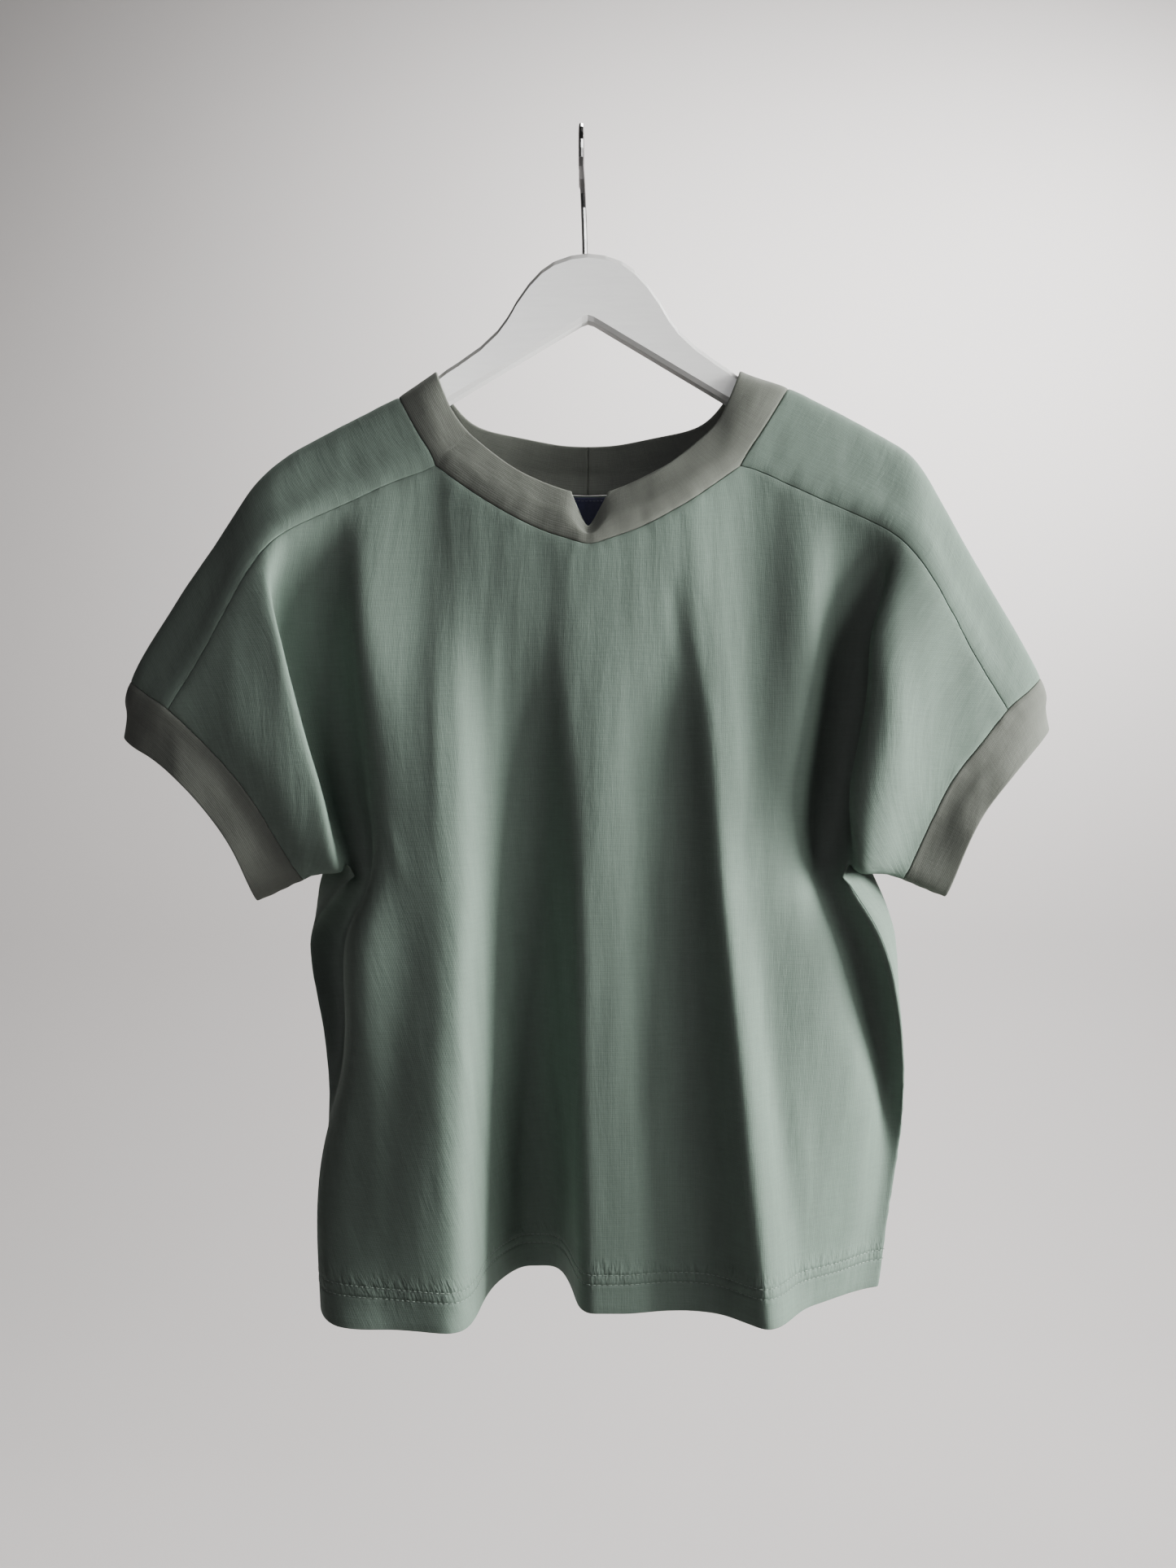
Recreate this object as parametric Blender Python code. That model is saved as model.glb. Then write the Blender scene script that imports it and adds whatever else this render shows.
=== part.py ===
"""A boxy t-shirt with cut-on sleeves, hanging on a wooden hanger.

Metres, +Z up. The front of the shirt faces -Y and the wearer's left is +X. The origin is the inside
of the hook's top, where it rests on its rod. Tables are in millimetres: `out` is a distance from the
hanger's centre line, `drop` a distance below the origin and `depth` a distance in front of it.
"""

import math

import bmesh
import bpy
import numpy as np
from mathutils import Vector
from mathutils.bvhtree import BVHTree

MM = 0.001

# Cloth
JERSEY = 1.5
RIB = 2.4
LABEL_CLOTH = 1.0
SEAM_GAP = 0.3
SIDE_SEAM_CREASE = 0.5
LONGEST_LOOK = 12.0
PINCHED_SHARE = 0.35
SHARP_ANGLE = math.radians(50)
HEM_DROP = 740.5
ARM_DROP = 480.0
CHEST_DROP = 380.0
HIP_DROP = 605.0

# Hanger
CENTRE_RIGHT_OF_HOOK = 4.3
HANGER_THICK = 10.0
HANGER_EDGE = 4.5
LEAST_FLAT = 0.2
SEAT_GAP = 0.4
BAND_SEAT_GAP = 1.3
WIRE = 3.5
HOOK_RADIUS = 17.0
STEM_X = 2.3
STEM_IN_WOOD = 20.0


def table(columns, *rows):
    """One array for each named column."""
    return dict(zip(columns.split(), np.array(rows, float).T))


def rows(source):
    return [tuple(row) for row in np.transpose(list(source.values())).tolist()]


def read(source, key, value, column):
    """The value of a column where another column has the value given."""
    return float(np.interp(value, source[key], source[column]))


# Seams of the shoulder panel, from the neckband to the cuff
SHOULDER = table(
    "front_out front_drop front_depth back_out back_drop back_depth",
    (96, 221, 22, 94, 206, -27),
    (118, 229, 22, 116, 216, -28),
    (140, 239.5, 23, 138, 227, -28),
    (160, 248.5, 24, 160, 240, -28),
    (182, 260, 26, 182, 254, -27),
    (203, 275, 28, 204, 272, -26),
    (222.5, 304, 28, 223, 302, -25),
    (243, 343, 27, 243, 341, -24),
    (264, 374.5, 24, 264, 374.5, -22),
)
CORNER, FIRST, SECOND, RECESS, ARMHOLE, EDGE, CREST, OUTER, CUFF = range(9)

# Two lines between a seam and the shoulder ridge: share of the way from the ridge, share of depth
ACROSS = table("way depth", (0.6, 0.8), (0.09, 0.43))

# The shoulder ridge over the hanger and down the sleeve, at the same stations
RIDGE = {
    "right": table(
        "out drop",
        (122, 172.6),
        (139, 181.4),
        (156, 190.2),
        (174, 199.8),
        (193, 211.4),
        (212, 228),
        (234, 259.5),
        (263, 302.5),
        (294.5, 356),
    ),
    "left": table(
        "out drop",
        (129, 167),
        (144, 174.5),
        (160, 182.5),
        (177, 191.5),
        (195, 202.3),
        (213, 217.5),
        (236, 257),
        (262, 302),
        (291, 354),
    ),
}

# Front of each sleeve, a row for each level from its shoulder seam to its lower edge
SLEEVE = {
    "right": table(
        "edge_out edge_depth crest_out crest_depth outer_out outer_depth cuff_out cuff_depth",
        (203, 28, 222.5, 28, 243, 27, 264, 24),
        (196, 33, 211, 38, 227, 34, 240, 26),
        (187, 37, 201, 44, 212, 38, 219.5, 28),
        (177, 38, 190, 44, 199, 37, 204, 28),
        (160, 37, 178, 39, 186, 32, 192, 25),
        (153, 27, 163, 24, 172, 19, 179, 15),
    ),
    "left": table(
        "edge_out edge_depth crest_out crest_depth outer_out outer_depth cuff_out cuff_depth",
        (203, 28, 222.5, 28, 243, 27, 264, 22),
        (185, 35, 207, 41, 232, 31, 246.5, 26),
        (179, 41, 199, 48, 218, 34, 228, 28),
        (173, 43, 192, 52, 208, 35, 217, 27),
        (164, 41, 184, 47, 200, 30, 207.5, 24),
        (168, 30, 179, 24, 190, 17, 198.6, 13),
    ),
}
SLEEVE_LOWER_DROP = {"edge": 478.5, "crest": 479, "outer": 480.5, "cuff": 483}
SLEEVE_BACK_DEPTH = (-26, -33, -36, -34, -20)

# Armhole, recess and second line of each side, by height: above the underarm the first runs up
# behind the sleeve's inner edge, and below it is the side seam
SIDE = {
    "right": table(
        "drop seam_out seam_depth recess_out recess_depth second_out second_depth",
        (250, 182, 26, 160, 24, 139, 23),
        (304, 185, 23, 160, 14, 140, 26),
        (348, 179, 20.5, 156, 9, 140, 29),
        (392, 170, 19.8, 151, 6.5, 138, 30),
        (436, 156, 14, 145, 2, 135, 31),
        (480, 147, 22, 137, 15, 134, 36),
        (516, 179, -3, 158, -12, 147, 42),
        (560, 177, -8, 157, -12, 147.5, 44),
        (605, 169.5, -4, 158, 2, 149, 45),
        (650, 168, 0, 166, 22, 156, 45),
        (695, 169.5, 0, 167, 32, 156, 54),
        (740.5, 169.5, 0, 164, 40, 148, 70),
    ),
    "left": table(
        "drop seam_out seam_depth recess_out recess_depth second_out second_depth",
        (250, 182, 26, 160, 24, 140, 23),
        (304, 180, 25, 159, 18, 142, 27),
        (348, 175, 19, 157, 11, 141, 29),
        (392, 170, 14, 154, 5, 138, 28),
        (436, 161, 16, 150, 8, 134, 26),
        (480, 159, 30, 147, 17, 134, 28),
        (516, 180.5, 38, 163, 22, 147, 32),
        (560, 192, 36, 176, 19, 157, 35),
        (605, 198.5, 24, 186, 14, 167, 32),
        (650, 200, 8, 187, 10, 167, 29),
        (695, 192.5, 9, 180, 14, 162, 30),
        (740.5, 185, 13, 171, 20, 150, 34),
    ),
}
BACK_SIDE = {
    "right": table(
        "drop seam_out seam_depth recess_out recess_depth second_out second_depth",
        (230, 182, -27, 160, -28, 138, -28),
        (299, 182, -32, 160, -36, 138, -38),
        (344, 178, -32, 159, -37, 138, -40),
        (390, 172, -30, 158, -36, 138, -42),
        (436, 164, -18, 156, -32, 138, -42),
        (480, 147, 22, 178, -26, 144, -44),
        (516, 179, -3, 177, -38, 143, -46),
        (605, 169.5, -4, 163, -36, 142, -46),
        (740.5, 169.5, 0, 160, -36, 142, -46),
    ),
    "left": table(
        "drop seam_out seam_depth recess_out recess_depth second_out second_depth",
        (230, 182, -27, 160, -28, 138, -28),
        (299, 184, -32, 162, -36, 139, -38),
        (344, 182, -32, 163, -37, 139, -40),
        (390, 178, -30, 164, -36, 139, -42),
        (436, 172, -18, 170, -30, 140, -42),
        (480, 159, 30, 186, -14, 144, -42),
        (516, 180.5, 38, 197, -12, 152, -44),
        (605, 198.5, 24, 196, -34, 158, -50),
        (740.5, 185, 13, 176, -30, 150, -46),
    ),
}

# Fold lines between the two sides, from the wearer's right to the left
FOLD_COLUMNS = "yoke_x arm_x hem_x yoke_depth chest_depth hip_depth hem_depth"
FRONT_FOLDS = table(
    FOLD_COLUMNS,
    (-118, -117, -115, 22, 36, 58, 74),
    (-96, -92, -91, 22, 38, 67, 78),
    (-88, -73, -70, 24, 36.5, 62, 72),
    (-72, -65, -62.5, 26, 29.5, 33, 25),
    (-54, -52, -46, 28, 25, 8, -12),
    (-40, -38, -34, 29, 24, 2, -17),
    (-25, -25, -22, 30, 27, 7, -15),
    (-12, -14, -12.5, 31.5, 33.5, 27, 8),
    (0, -6, -5, 32, 35.5, 42, 46),
    (12, 5, 8, 32, 36, 45, 53),
    (29, 22, 28, 31.5, 33.5, 43, 53),
    (45, 46, 56, 31, 30, 39, 49),
    (57, 67, 84, 30, 32.5, 46, 57),
    (69, 81, 103, 28.5, 39.5, 62, 74),
    (96, 97, 119, 22, 32, 52, 64),
    (118, 113, 133, 22, 30.5, 45, 46),
)
BACK_FOLDS = table(
    FOLD_COLUMNS,
    (-116, -118, -122, -28, -42, -50, -56),
    (-94, -96, -100, -27, -46, -61, -70),
    (-66, -72, -79, -33, -51, -66, -76),
    (-44, -50, -53, -38, -49, -55, -58),
    (-22, -24, -25, -42, -47, -47, -45),
    (0, 2, 3, -44, -51, -55, -58),
    (22, 27, 30, -42, -56, -69, -78),
    (44, 51, 57, -38, -52, -64, -72),
    (66, 75, 82, -33, -45, -48, -50),
    (94, 99, 105, -27, -40, -43, -45),
    (116, 121, 127, -28, -43, -51, -58),
)

# Neck seam, and the neckband's upper edge opposite each of its points
FRONT_NECK_DROP = 271.4
BACK_NECK_DROP = 224.0
NECK_RISE_POWER = {"front": 1.5, "back": 2.0}
FRONT_BAND_EDGE = table(
    "seam_out out drop depth",
    (0, 0, 238.5, 26),
    (12, 11.4, 238.5, 26),
    (32, 27, 233, 25.5),
    (53, 43, 225, 25),
    (70, 56, 216, 22),
    (83, 66, 208, 19.5),
    (96, 76, 198, 16.5),
)
BACK_BAND_EDGE = table(
    "seam_out out drop depth",
    (0, 0, 193, -36),
    (22, 18, 192.5, -35),
    (44, 35, 190.5, -31.5),
    (66, 52, 188, -28),
    (94, 72, 184, -23),
)
SHOULDER_BAND_EDGE = table(
    "out drop depth",
    (86, 184, 14),
    (95, 163, 9.5),
    (98, 155, 0),
    (94.5, 162, -9.5),
    (85, 175, -16),
)
NOTCH_DROP = 263.0
NOTCH_HALF = 12.0
NOTCH_SHIFT = 1.0
BAND_MIDDLE_SWELL = 1.5

# Free edge of each cuff: over the shoulder from front to back, then down to the underarm
CUFF_OVER = {
    "right": table(
        "out drop depth",
        (286, 400, 16),
        (296.5, 394, 8),
        (299.7, 391.5, 0),
        (296.5, 394, -7),
        (286, 400, -13),
    ),
    "left": table(
        "out drop depth",
        (287, 396, 15),
        (294.5, 389, 8),
        (297.6, 386, 0),
        (294.5, 389, -7),
        (287, 396, -13),
    ),
}
CUFF_DOWN = {
    "right": table(
        "out drop front_depth back_depth",
        (275, 406, 20, -18),
        (255, 421, 28, -23),
        (238, 440, 28, -23),
        (225, 458.5, 28, -21),
        (217, 477, 23, -11),
        (211, 497.5, 8, 8),
    ),
    "left": table(
        "out drop front_depth back_depth",
        (278.5, 404, 20, -18),
        (262, 421, 28, -23),
        (249, 438, 28, -23),
        (240, 454, 28, -21),
        (234, 473, 21, -11),
        (228, 495, 8, 8),
    ),
}

# Label: half width, and its upper and lower edges
LABEL_CENTRE = 8.0
LABEL_HALF = 30.0
LABEL_TOP_DROP = 226.0
LABEL_LOW_DROP = 262.0
LABEL_COLUMNS = 7
LABEL_ROWS = 5

# Hanger: upper edge of the crown, and lower edge all along
CROWN = table(
    "out drop",
    (0, 78.8),
    (11, 80.1),
    (22, 84),
    (30, 89.5),
    (38, 98),
    (46, 109.4),
    (51, 118.5),
    (58, 128),
    (69, 138.5),
    (83, 148.5),
    (97, 157.5),
)
LOWER_EDGE = table(
    "out drop",
    (0, 124.5),
    (4, 125.8),
    (98, 182),
    (122, 197),
    (156, 215),
    (193, 232.5),
    (203, 235),
)
STATIONS = (0, 4, 11, 17, 22, 26, 30, 34, 38, 42, 46, 49, 52, 55, 58, 63, 69, 76, 83, 91, 98)
STATIONS += (110, 122, 139, 156, 174, 190, 198, 203)

# The rounded tip beyond the last station: how far its top, bottom and sides draw in
TIP = table("out top_in bottom_in thinner", (206, 3.5, 3, 2.5), (207, 6, 5.5, 6))

# The hook's wire below its loop, which it leaves at LOOP_END and follows back over the wood
LOOP_START = 215
LOOP_END = -40
LOOP_STEP = 15
STEM = table(
    "x drop depth",
    (0.6, 35, 9.6),
    (1.0, 42, 5.2),
    (1.4, 50, 2.0),
    (1.8, 60, 0.3),
    (2.1, 70, 0),
    (STEM_X, 80, 0),
)

FITTING_ROUNDS = 3
UPPER_ROWS = 5
LOWER_DROPS = (516, 560, 605, 650, 695, HEM_DROP)

PANELS = ("front", "back", "shoulder_right", "shoulder_left", "neckband", "cuff_right", "cuff_left")
SIDES = ("right", "left")
SIGN = {"right": -1, "left": 1}


def place(x, drop, depth):
    """A point in metres from millimetres about the hanger's centre line."""
    return Vector((x + CENTRE_RIGHT_OF_HOOK, -depth, -drop)) * MM


class Cage:
    """The control mesh of the whole shirt, one skin with its pieces told apart by tag."""

    def __init__(self):
        self.points = []
        self.faces = []
        self.tags = []
        self.sharp = []
        self.joins = set()
        self.ridges = set()

    def add(self, x, drop, depth):
        self.points.append(place(x, drop, depth))
        return len(self.points) - 1

    def patch(self, panel, lines):
        """Faces between neighbouring lines of point numbers."""
        for here, there in zip(lines, lines[1:]):
            for i in range(len(here) - 1):
                self.faces.append((here[i], here[i + 1], there[i + 1], there[i]))
                self.tags.append(PANELS.index(panel))


def neck_drop(face, x):
    centre = FRONT_NECK_DROP if face == "front" else BACK_NECK_DROP
    corner_out = SHOULDER[face + "_out"][CORNER]
    rise = centre - SHOULDER[face + "_drop"][CORNER]
    return centre - rise * (abs(x) / corner_out) ** NECK_RISE_POWER[face]


def levels(top, bottom):
    return [top + (bottom - top) * i / UPPER_ROWS for i in range(UPPER_ROWS + 1)]


def fold_line(cage, face, folds, index, top_drop):
    """One fold line from the yoke to the hem."""
    line = []
    x_stops = (top_drop, ARM_DROP, HEM_DROP)
    depth_stops = (top_drop, CHEST_DROP, HIP_DROP, HEM_DROP)
    xs = [folds[name][index] for name in ("yoke_x", "arm_x", "hem_x")]
    depths = [folds[name][index] for name in ("yoke_depth", "chest_depth", "hip_depth", "hem_depth")]
    for drop in levels(top_drop, ARM_DROP) + list(LOWER_DROPS):
        line.append(cage.add(np.interp(drop, x_stops, xs), drop, np.interp(drop, depth_stops, depths)))
    return line


def side_line(cage, face, side, name, station):
    """The armhole and side seam, or one of the two lines next to it."""
    source = (SIDE if face == "front" else BACK_SIDE)[side]
    top = SHOULDER[face + "_drop"][station]
    line = []
    for i, drop in enumerate(levels(top, ARM_DROP) + list(LOWER_DROPS)):
        out = read(source, "drop", drop, name + "_out")
        depth = read(source, "drop", drop, name + "_depth")
        if i == 0:
            out = SHOULDER[face + "_out"][station]
            depth = SHOULDER[face + "_depth"][station]
        line.append(cage.add(SIGN[side] * out, drop, depth))
    return line


def sleeve_line(cage, face, side, name, station, lower_point):
    """One line of a sleeve from the shoulder panel to the sleeve's lower edge."""
    source = SLEEVE[side]
    drops = levels(SHOULDER[face + "_drop"][station], SLEEVE_LOWER_DROP[name])
    line = []
    for i, drop in enumerate(drops):
        if i == UPPER_ROWS and lower_point is not None:
            line.append(lower_point)
            continue
        depth = source[name + "_depth"][i] if face == "front" else SLEEVE_BACK_DEPTH[i]
        line.append(cage.add(SIGN[side] * source[name + "_out"][i], drop, depth))
    return line


def panel_lines(cage, face, shared):
    """All lines of the front or the back from one cuff to the other, by side and by fold."""
    folds = FRONT_FOLDS if face == "front" else BACK_FOLDS
    lines = {"right": {}, "left": {}, "folds": []}
    for side in SIDES:
        given = shared[side] if shared else {}
        for name, station in (("cuff", CUFF), ("outer", OUTER), ("crest", CREST), ("edge", EDGE)):
            lower = given[name][UPPER_ROWS] if given else None
            lines[side][name] = sleeve_line(cage, face, side, name, station, lower)
        seam = side_line(cage, face, side, "seam", ARMHOLE)
        if given:
            seam = seam[:UPPER_ROWS] + given["seam"][UPPER_ROWS:]
        cage.sharp.append(seam[UPPER_ROWS])
        cage.ridges.update(map(frozenset, zip(seam[UPPER_ROWS:], seam[UPPER_ROWS + 1 :])))
        lines[side]["seam"] = seam
        lines[side]["recess"] = side_line(cage, face, side, "recess", RECESS)
        lines[side]["second"] = side_line(cage, face, side, "second", SECOND)
    count = len(folds["yoke_x"])
    for index in range(count):
        station = FIRST if index in (0, count - 1) else CORNER if index in (1, count - 2) else None
        if station is None:
            top = neck_drop(face, folds["yoke_x"][index])
        else:
            top = SHOULDER[face + "_drop"][station]
        lines["folds"].append(fold_line(cage, face, folds, index, top))
    return lines


def add_panel(cage, face, lines):
    order = ("cuff", "outer", "crest", "edge", "seam", "recess", "second")
    across = [lines["right"][name] for name in order] + lines["folds"]
    across += [lines["left"][name] for name in reversed(order)]
    cage.patch(face, [line[: UPPER_ROWS + 1] for line in across])
    cage.patch(face, [line[UPPER_ROWS:] for line in across if len(line) > UPPER_ROWS + 1])


def seam_tops(lines, side):
    """Top points of a panel along one shoulder seam, from the neck corner to the cuff."""
    folds = lines["folds"] if side == "right" else lines["folds"][::-1]
    names = ("second", "recess", "seam", "edge", "crest", "outer", "cuff")
    return [folds[1][0], folds[0][0]] + [lines[side][name][0] for name in names]


def add_shoulder(cage, side, front, back):
    """The panel over the shoulder; returns its lines across, from the neck to the cuff."""
    lines = []
    front_tops = seam_tops(front, side)
    back_tops = seam_tops(back, side)
    for k, (front_top, back_top) in enumerate(zip(front_tops, back_tops)):
        ridge_out = RIDGE[side]["out"][k]
        ridge_drop = RIDGE[side]["drop"][k]
        inner = {}
        for face in ("front", "back"):
            for share, depth_share in rows(ACROSS):
                out = ridge_out + (SHOULDER[face + "_out"][k] - ridge_out) * share
                drop = ridge_drop + (SHOULDER[face + "_drop"][k] - ridge_drop) * share
                depth = SHOULDER[face + "_depth"][k] * depth_share
                inner[face, share] = cage.add(SIGN[side] * out, drop, depth)
        wide, near = ACROSS["way"]
        ridge = cage.add(SIGN[side] * ridge_out, ridge_drop, 0)
        over = [inner["front", wide], inner["front", near], ridge]
        over += [inner["back", near], inner["back", wide]]
        lines.append([front_top] + over + [back_top])
    cage.patch("shoulder_" + side, lines)
    return lines


def half_way(cage, seam, edge, swell=0.0):
    """A point half way from a seam point to an edge point, swelled away from the shirt's middle."""
    middle = (cage.points[seam] + cage.points[edge]) / 2
    middle.y += math.copysign(swell * MM, middle.y)
    cage.points.append(middle)
    return len(cage.points) - 1


def band_edge(source, x):
    """The neckband's upper edge opposite a place on its seam."""
    out, drop, depth = (read(source, "seam_out", abs(x), name) for name in ("out", "drop", "depth"))
    return math.copysign(out, x), drop, depth


def add_neckband(cage, front, back, over):
    """The band: up the front from the right shoulder, over the left one and round the back."""
    seam, edge = [], []
    inner_front = front["folds"][1:-1]
    for line, x in zip(inner_front, FRONT_FOLDS["yoke_x"][1:-1]):
        out, drop, depth = band_edge(FRONT_BAND_EDGE, x)
        shift = NOTCH_SHIFT if abs(x) <= NOTCH_HALF else 0
        if x == 0:
            drop, shift = NOTCH_DROP, 0
        seam.append(line[0])
        edge.append(cage.add(out + shift, drop, depth))
        if abs(x) <= NOTCH_HALF:
            cage.sharp.append(edge[-1])
    shoulder_edge = rows(SHOULDER_BAND_EDGE)
    for point, (out, drop, depth) in zip(over["left"][0][1:-1], shoulder_edge):
        seam.append(point)
        edge.append(cage.add(out, drop, depth))
    inner_back = back["folds"][1:-1]
    for line, x in zip(inner_back[::-1], BACK_FOLDS["yoke_x"][1:-1][::-1]):
        seam.append(line[0])
        edge.append(cage.add(*band_edge(BACK_BAND_EDGE, x)))
        if x == 0:
            centre_back = len(seam) - 1
    for point, (out, drop, depth) in zip(over["right"][0][-2:0:-1], shoulder_edge[::-1]):
        seam.append(point)
        edge.append(cage.add(-out, drop, depth))
    middle = [half_way(cage, a, b, BAND_MIDDLE_SWELL) for a, b in zip(seam, edge)]
    rings = [ring + ring[:1] for ring in (seam, middle, edge)]
    cage.patch("neckband", rings)
    for lower, upper in ((seam, middle), (middle, edge)):
        cage.joins.add(frozenset((lower[centre_back], upper[centre_back])))


def add_cuff(cage, side, front, back, over):
    """The cuff, from the underarm up the front, over the sleeve and down the back."""
    down = rows(CUFF_DOWN[side])
    seam = list(front[side]["cuff"][::-1])
    edge = [cage.add(SIGN[side] * out, drop, depth) for out, drop, depth, _ in down[::-1]]
    for point, (out, drop, depth) in zip(over[side][CUFF][1:-1], rows(CUFF_OVER[side])):
        seam.append(point)
        edge.append(cage.add(SIGN[side] * out, drop, depth))
    for point, (out, drop, _, depth) in zip(back[side]["cuff"][:-1], down):
        seam.append(point)
        edge.append(cage.add(SIGN[side] * out, drop, depth))
    middle = [half_way(cage, a, b) for a, b in zip(seam, edge)]
    rings = [ring + ring[:1] for ring in (seam, middle, edge)]
    cage.patch("cuff_" + side, rings)
    cage.joins.add(frozenset((seam[0], middle[0])))
    cage.joins.add(frozenset((middle[0], edge[0])))


def shirt_cage():
    cage = Cage()
    front = panel_lines(cage, "front", None)
    back = panel_lines(cage, "back", front)
    add_panel(cage, "front", front)
    add_panel(cage, "back", back)
    over = {side: add_shoulder(cage, side, front, back) for side in SIDES}
    add_neckband(cage, front, back, over)
    for side in SIDES:
        add_cuff(cage, side, front, back, over)
    return cage


def cage_mesh(cage, points):
    """The cage as a mesh whose faces point outwards, each with its piece's number."""
    bm = bmesh.new()
    crease = bm.verts.layers.float.new("crease_vert")
    verts = [bm.verts.new(point) for point in points]
    for index in cage.sharp:
        verts[index][crease] = 1.0
    for face, tag in zip(cage.faces, cage.tags):
        bm.faces.new([verts[i] for i in face]).material_index = tag
    bmesh.ops.recalc_face_normals(bm, faces=bm.faces)
    bm.normal_update()
    front_faces = [face for face in bm.faces if face.material_index == PANELS.index("front")]
    if sum(face.normal.y for face in front_faces) > 0:
        bmesh.ops.reverse_faces(bm, faces=bm.faces)
    bm.verts.index_update()
    ridge = bm.edges.layers.float.new("crease_edge")
    for edge in bm.edges:
        ends = frozenset(vert.index for vert in edge.verts)
        edge.seam = ends in cage.joins
        edge[ridge] = SIDE_SEAM_CREASE if ends in cage.ridges else 0.0
    mesh = bpy.data.meshes.new("cage")
    bm.to_mesh(mesh)
    bm.free()
    return mesh


def smoothed(cage, points, level):
    """The smooth skin of the cage as a new mesh."""
    guide = bpy.data.objects.new("guide", cage_mesh(cage, points))
    bpy.context.scene.collection.objects.link(guide)
    smooth = guide.modifiers.new("Smooth", "SUBSURF")
    smooth.levels = smooth.render_levels = level
    graph = bpy.context.evaluated_depsgraph_get()
    mesh = bpy.data.meshes.new_from_object(guide.evaluated_get(graph))
    bpy.data.objects.remove(guide)
    return mesh


def skin_through(cage, level):
    """The smooth skin that passes through every point of the cage."""
    wanted = [point.copy() for point in cage.points]
    points = [point.copy() for point in wanted]
    for _ in range(FITTING_ROUNDS):
        mesh = smoothed(cage, points, 1)
        for i, aim in enumerate(wanted):
            points[i] += aim - mesh.vertices[i].co
    return smoothed(cage, points, level)


def inward(loop):
    """The direction in the face, square to one of its edges and away from it."""
    edge = (loop.link_loop_next.vert.co - loop.vert.co).normalized()
    return loop.face.normal.cross(edge)


def split_quad(corners, points):
    """Two triangles of a quad, across its shorter diagonal."""
    a, b, c, d = corners
    if (points[a] - points[c]).length <= (points[b] - points[d]).length:
        return ((a, b, c), (a, c, d))
    return ((a, b, d), (b, c, d))


def room_inside(skin):
    """For each point of the skin, how far its inner side is from the skin opposite."""
    tree = BVHTree.FromPolygons([v.co for v in skin.vertices], [p.vertices for p in skin.polygons])
    room = []
    for vert in skin.vertices:
        start = vert.co - vert.normal * JERSEY * MM / 2
        distance = tree.ray_cast(start, -vert.normal, LONGEST_LOOK * MM)[3]
        room.append(LONGEST_LOOK * MM if distance is None else distance)
    return room


def wall_of(name, skin, tag, thickness, room, paint):
    """One cut piece: the skin's faces of one tag with a thickness, drawn back at its seams."""
    bm = bmesh.new()
    outwards = bm.verts.layers.float_vector.new("outwards")
    free = bm.verts.layers.float.new("free")
    made = {}
    joins = {edge.key for edge in skin.edges if edge.use_seam}
    for face in skin.polygons:
        if face.material_index != tag:
            continue
        for i in face.vertices:
            if i not in made:
                made[i] = bm.verts.new(skin.vertices[i].co)
                made[i][outwards] = skin.vertices[i].normal
                made[i][free] = room[i]
        bm.faces.new([made[i] for i in face.vertices])
    cut = [bm.edges.get((made[a], made[b])) for a, b in joins if a in made and b in made]
    bmesh.ops.split_edges(bm, edges=[edge for edge in cut if edge])
    bm.normal_update()
    bm.verts.index_update()
    drawn = {}
    for edge in bm.edges:
        if edge.is_boundary:
            for vert in edge.verts:
                drawn.setdefault(vert, []).append(inward(edge.link_loops[0]))
    outer = []
    inner = []
    for vert in bm.verts:
        place_out = vert.co.copy()
        if vert in drawn:
            first, second = drawn[vert]
            place_out += (first + second) / (1 + first.dot(second)) * SEAM_GAP / 2 * MM
        outer.append(place_out)
        depth = min(thickness * MM, vert[free] * PINCHED_SHARE)
        inner.append(place_out - Vector(vert[outwards]) * depth)
    count = len(outer)
    faces = []
    for face in bm.faces:
        for triangle in split_quad([vert.index for vert in face.verts], outer):
            faces.append(triangle)
            faces.append(tuple(count + i for i in reversed(triangle)))
    for edge in bm.edges:
        if edge.is_boundary:
            loop = edge.link_loops[0]
            a, b = loop.vert.index, loop.link_loop_next.vert.index
            faces.append((b, a, count + a, count + b))
    bm.free()
    return solid(name, outer + inner, faces, paint)


def solid(name, points, faces, paint):
    mesh = bpy.data.meshes.new(name)
    mesh.from_pydata([tuple(point) for point in points], [], faces)
    mesh.materials.append(paint)
    mesh.shade_smooth()
    mesh.set_sharp_from_angle(angle=SHARP_ANGLE)
    made = bpy.data.objects.new(name, mesh)
    bpy.context.scene.collection.objects.link(made)
    return made


def painted(name, colour, roughness, metallic=0.0):
    paint = bpy.data.materials.new(name)
    paint.use_nodes = True
    shader = paint.node_tree.nodes["Principled BSDF"]
    shader.inputs["Base Color"].default_value = (*colour, 1)
    shader.inputs["Roughness"].default_value = roughness
    shader.inputs["Metallic"].default_value = metallic
    return paint


def build_shirt(sage, band):
    skin = skin_through(shirt_cage(), 1)
    room = room_inside(skin)
    for tag, name in enumerate(PANELS):
        is_band = name == "neckband" or name.startswith("cuff")
        wall_of(name, skin, tag, RIB if is_band else JERSEY, room, band if is_band else sage)
    bpy.data.meshes.remove(skin)


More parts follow.
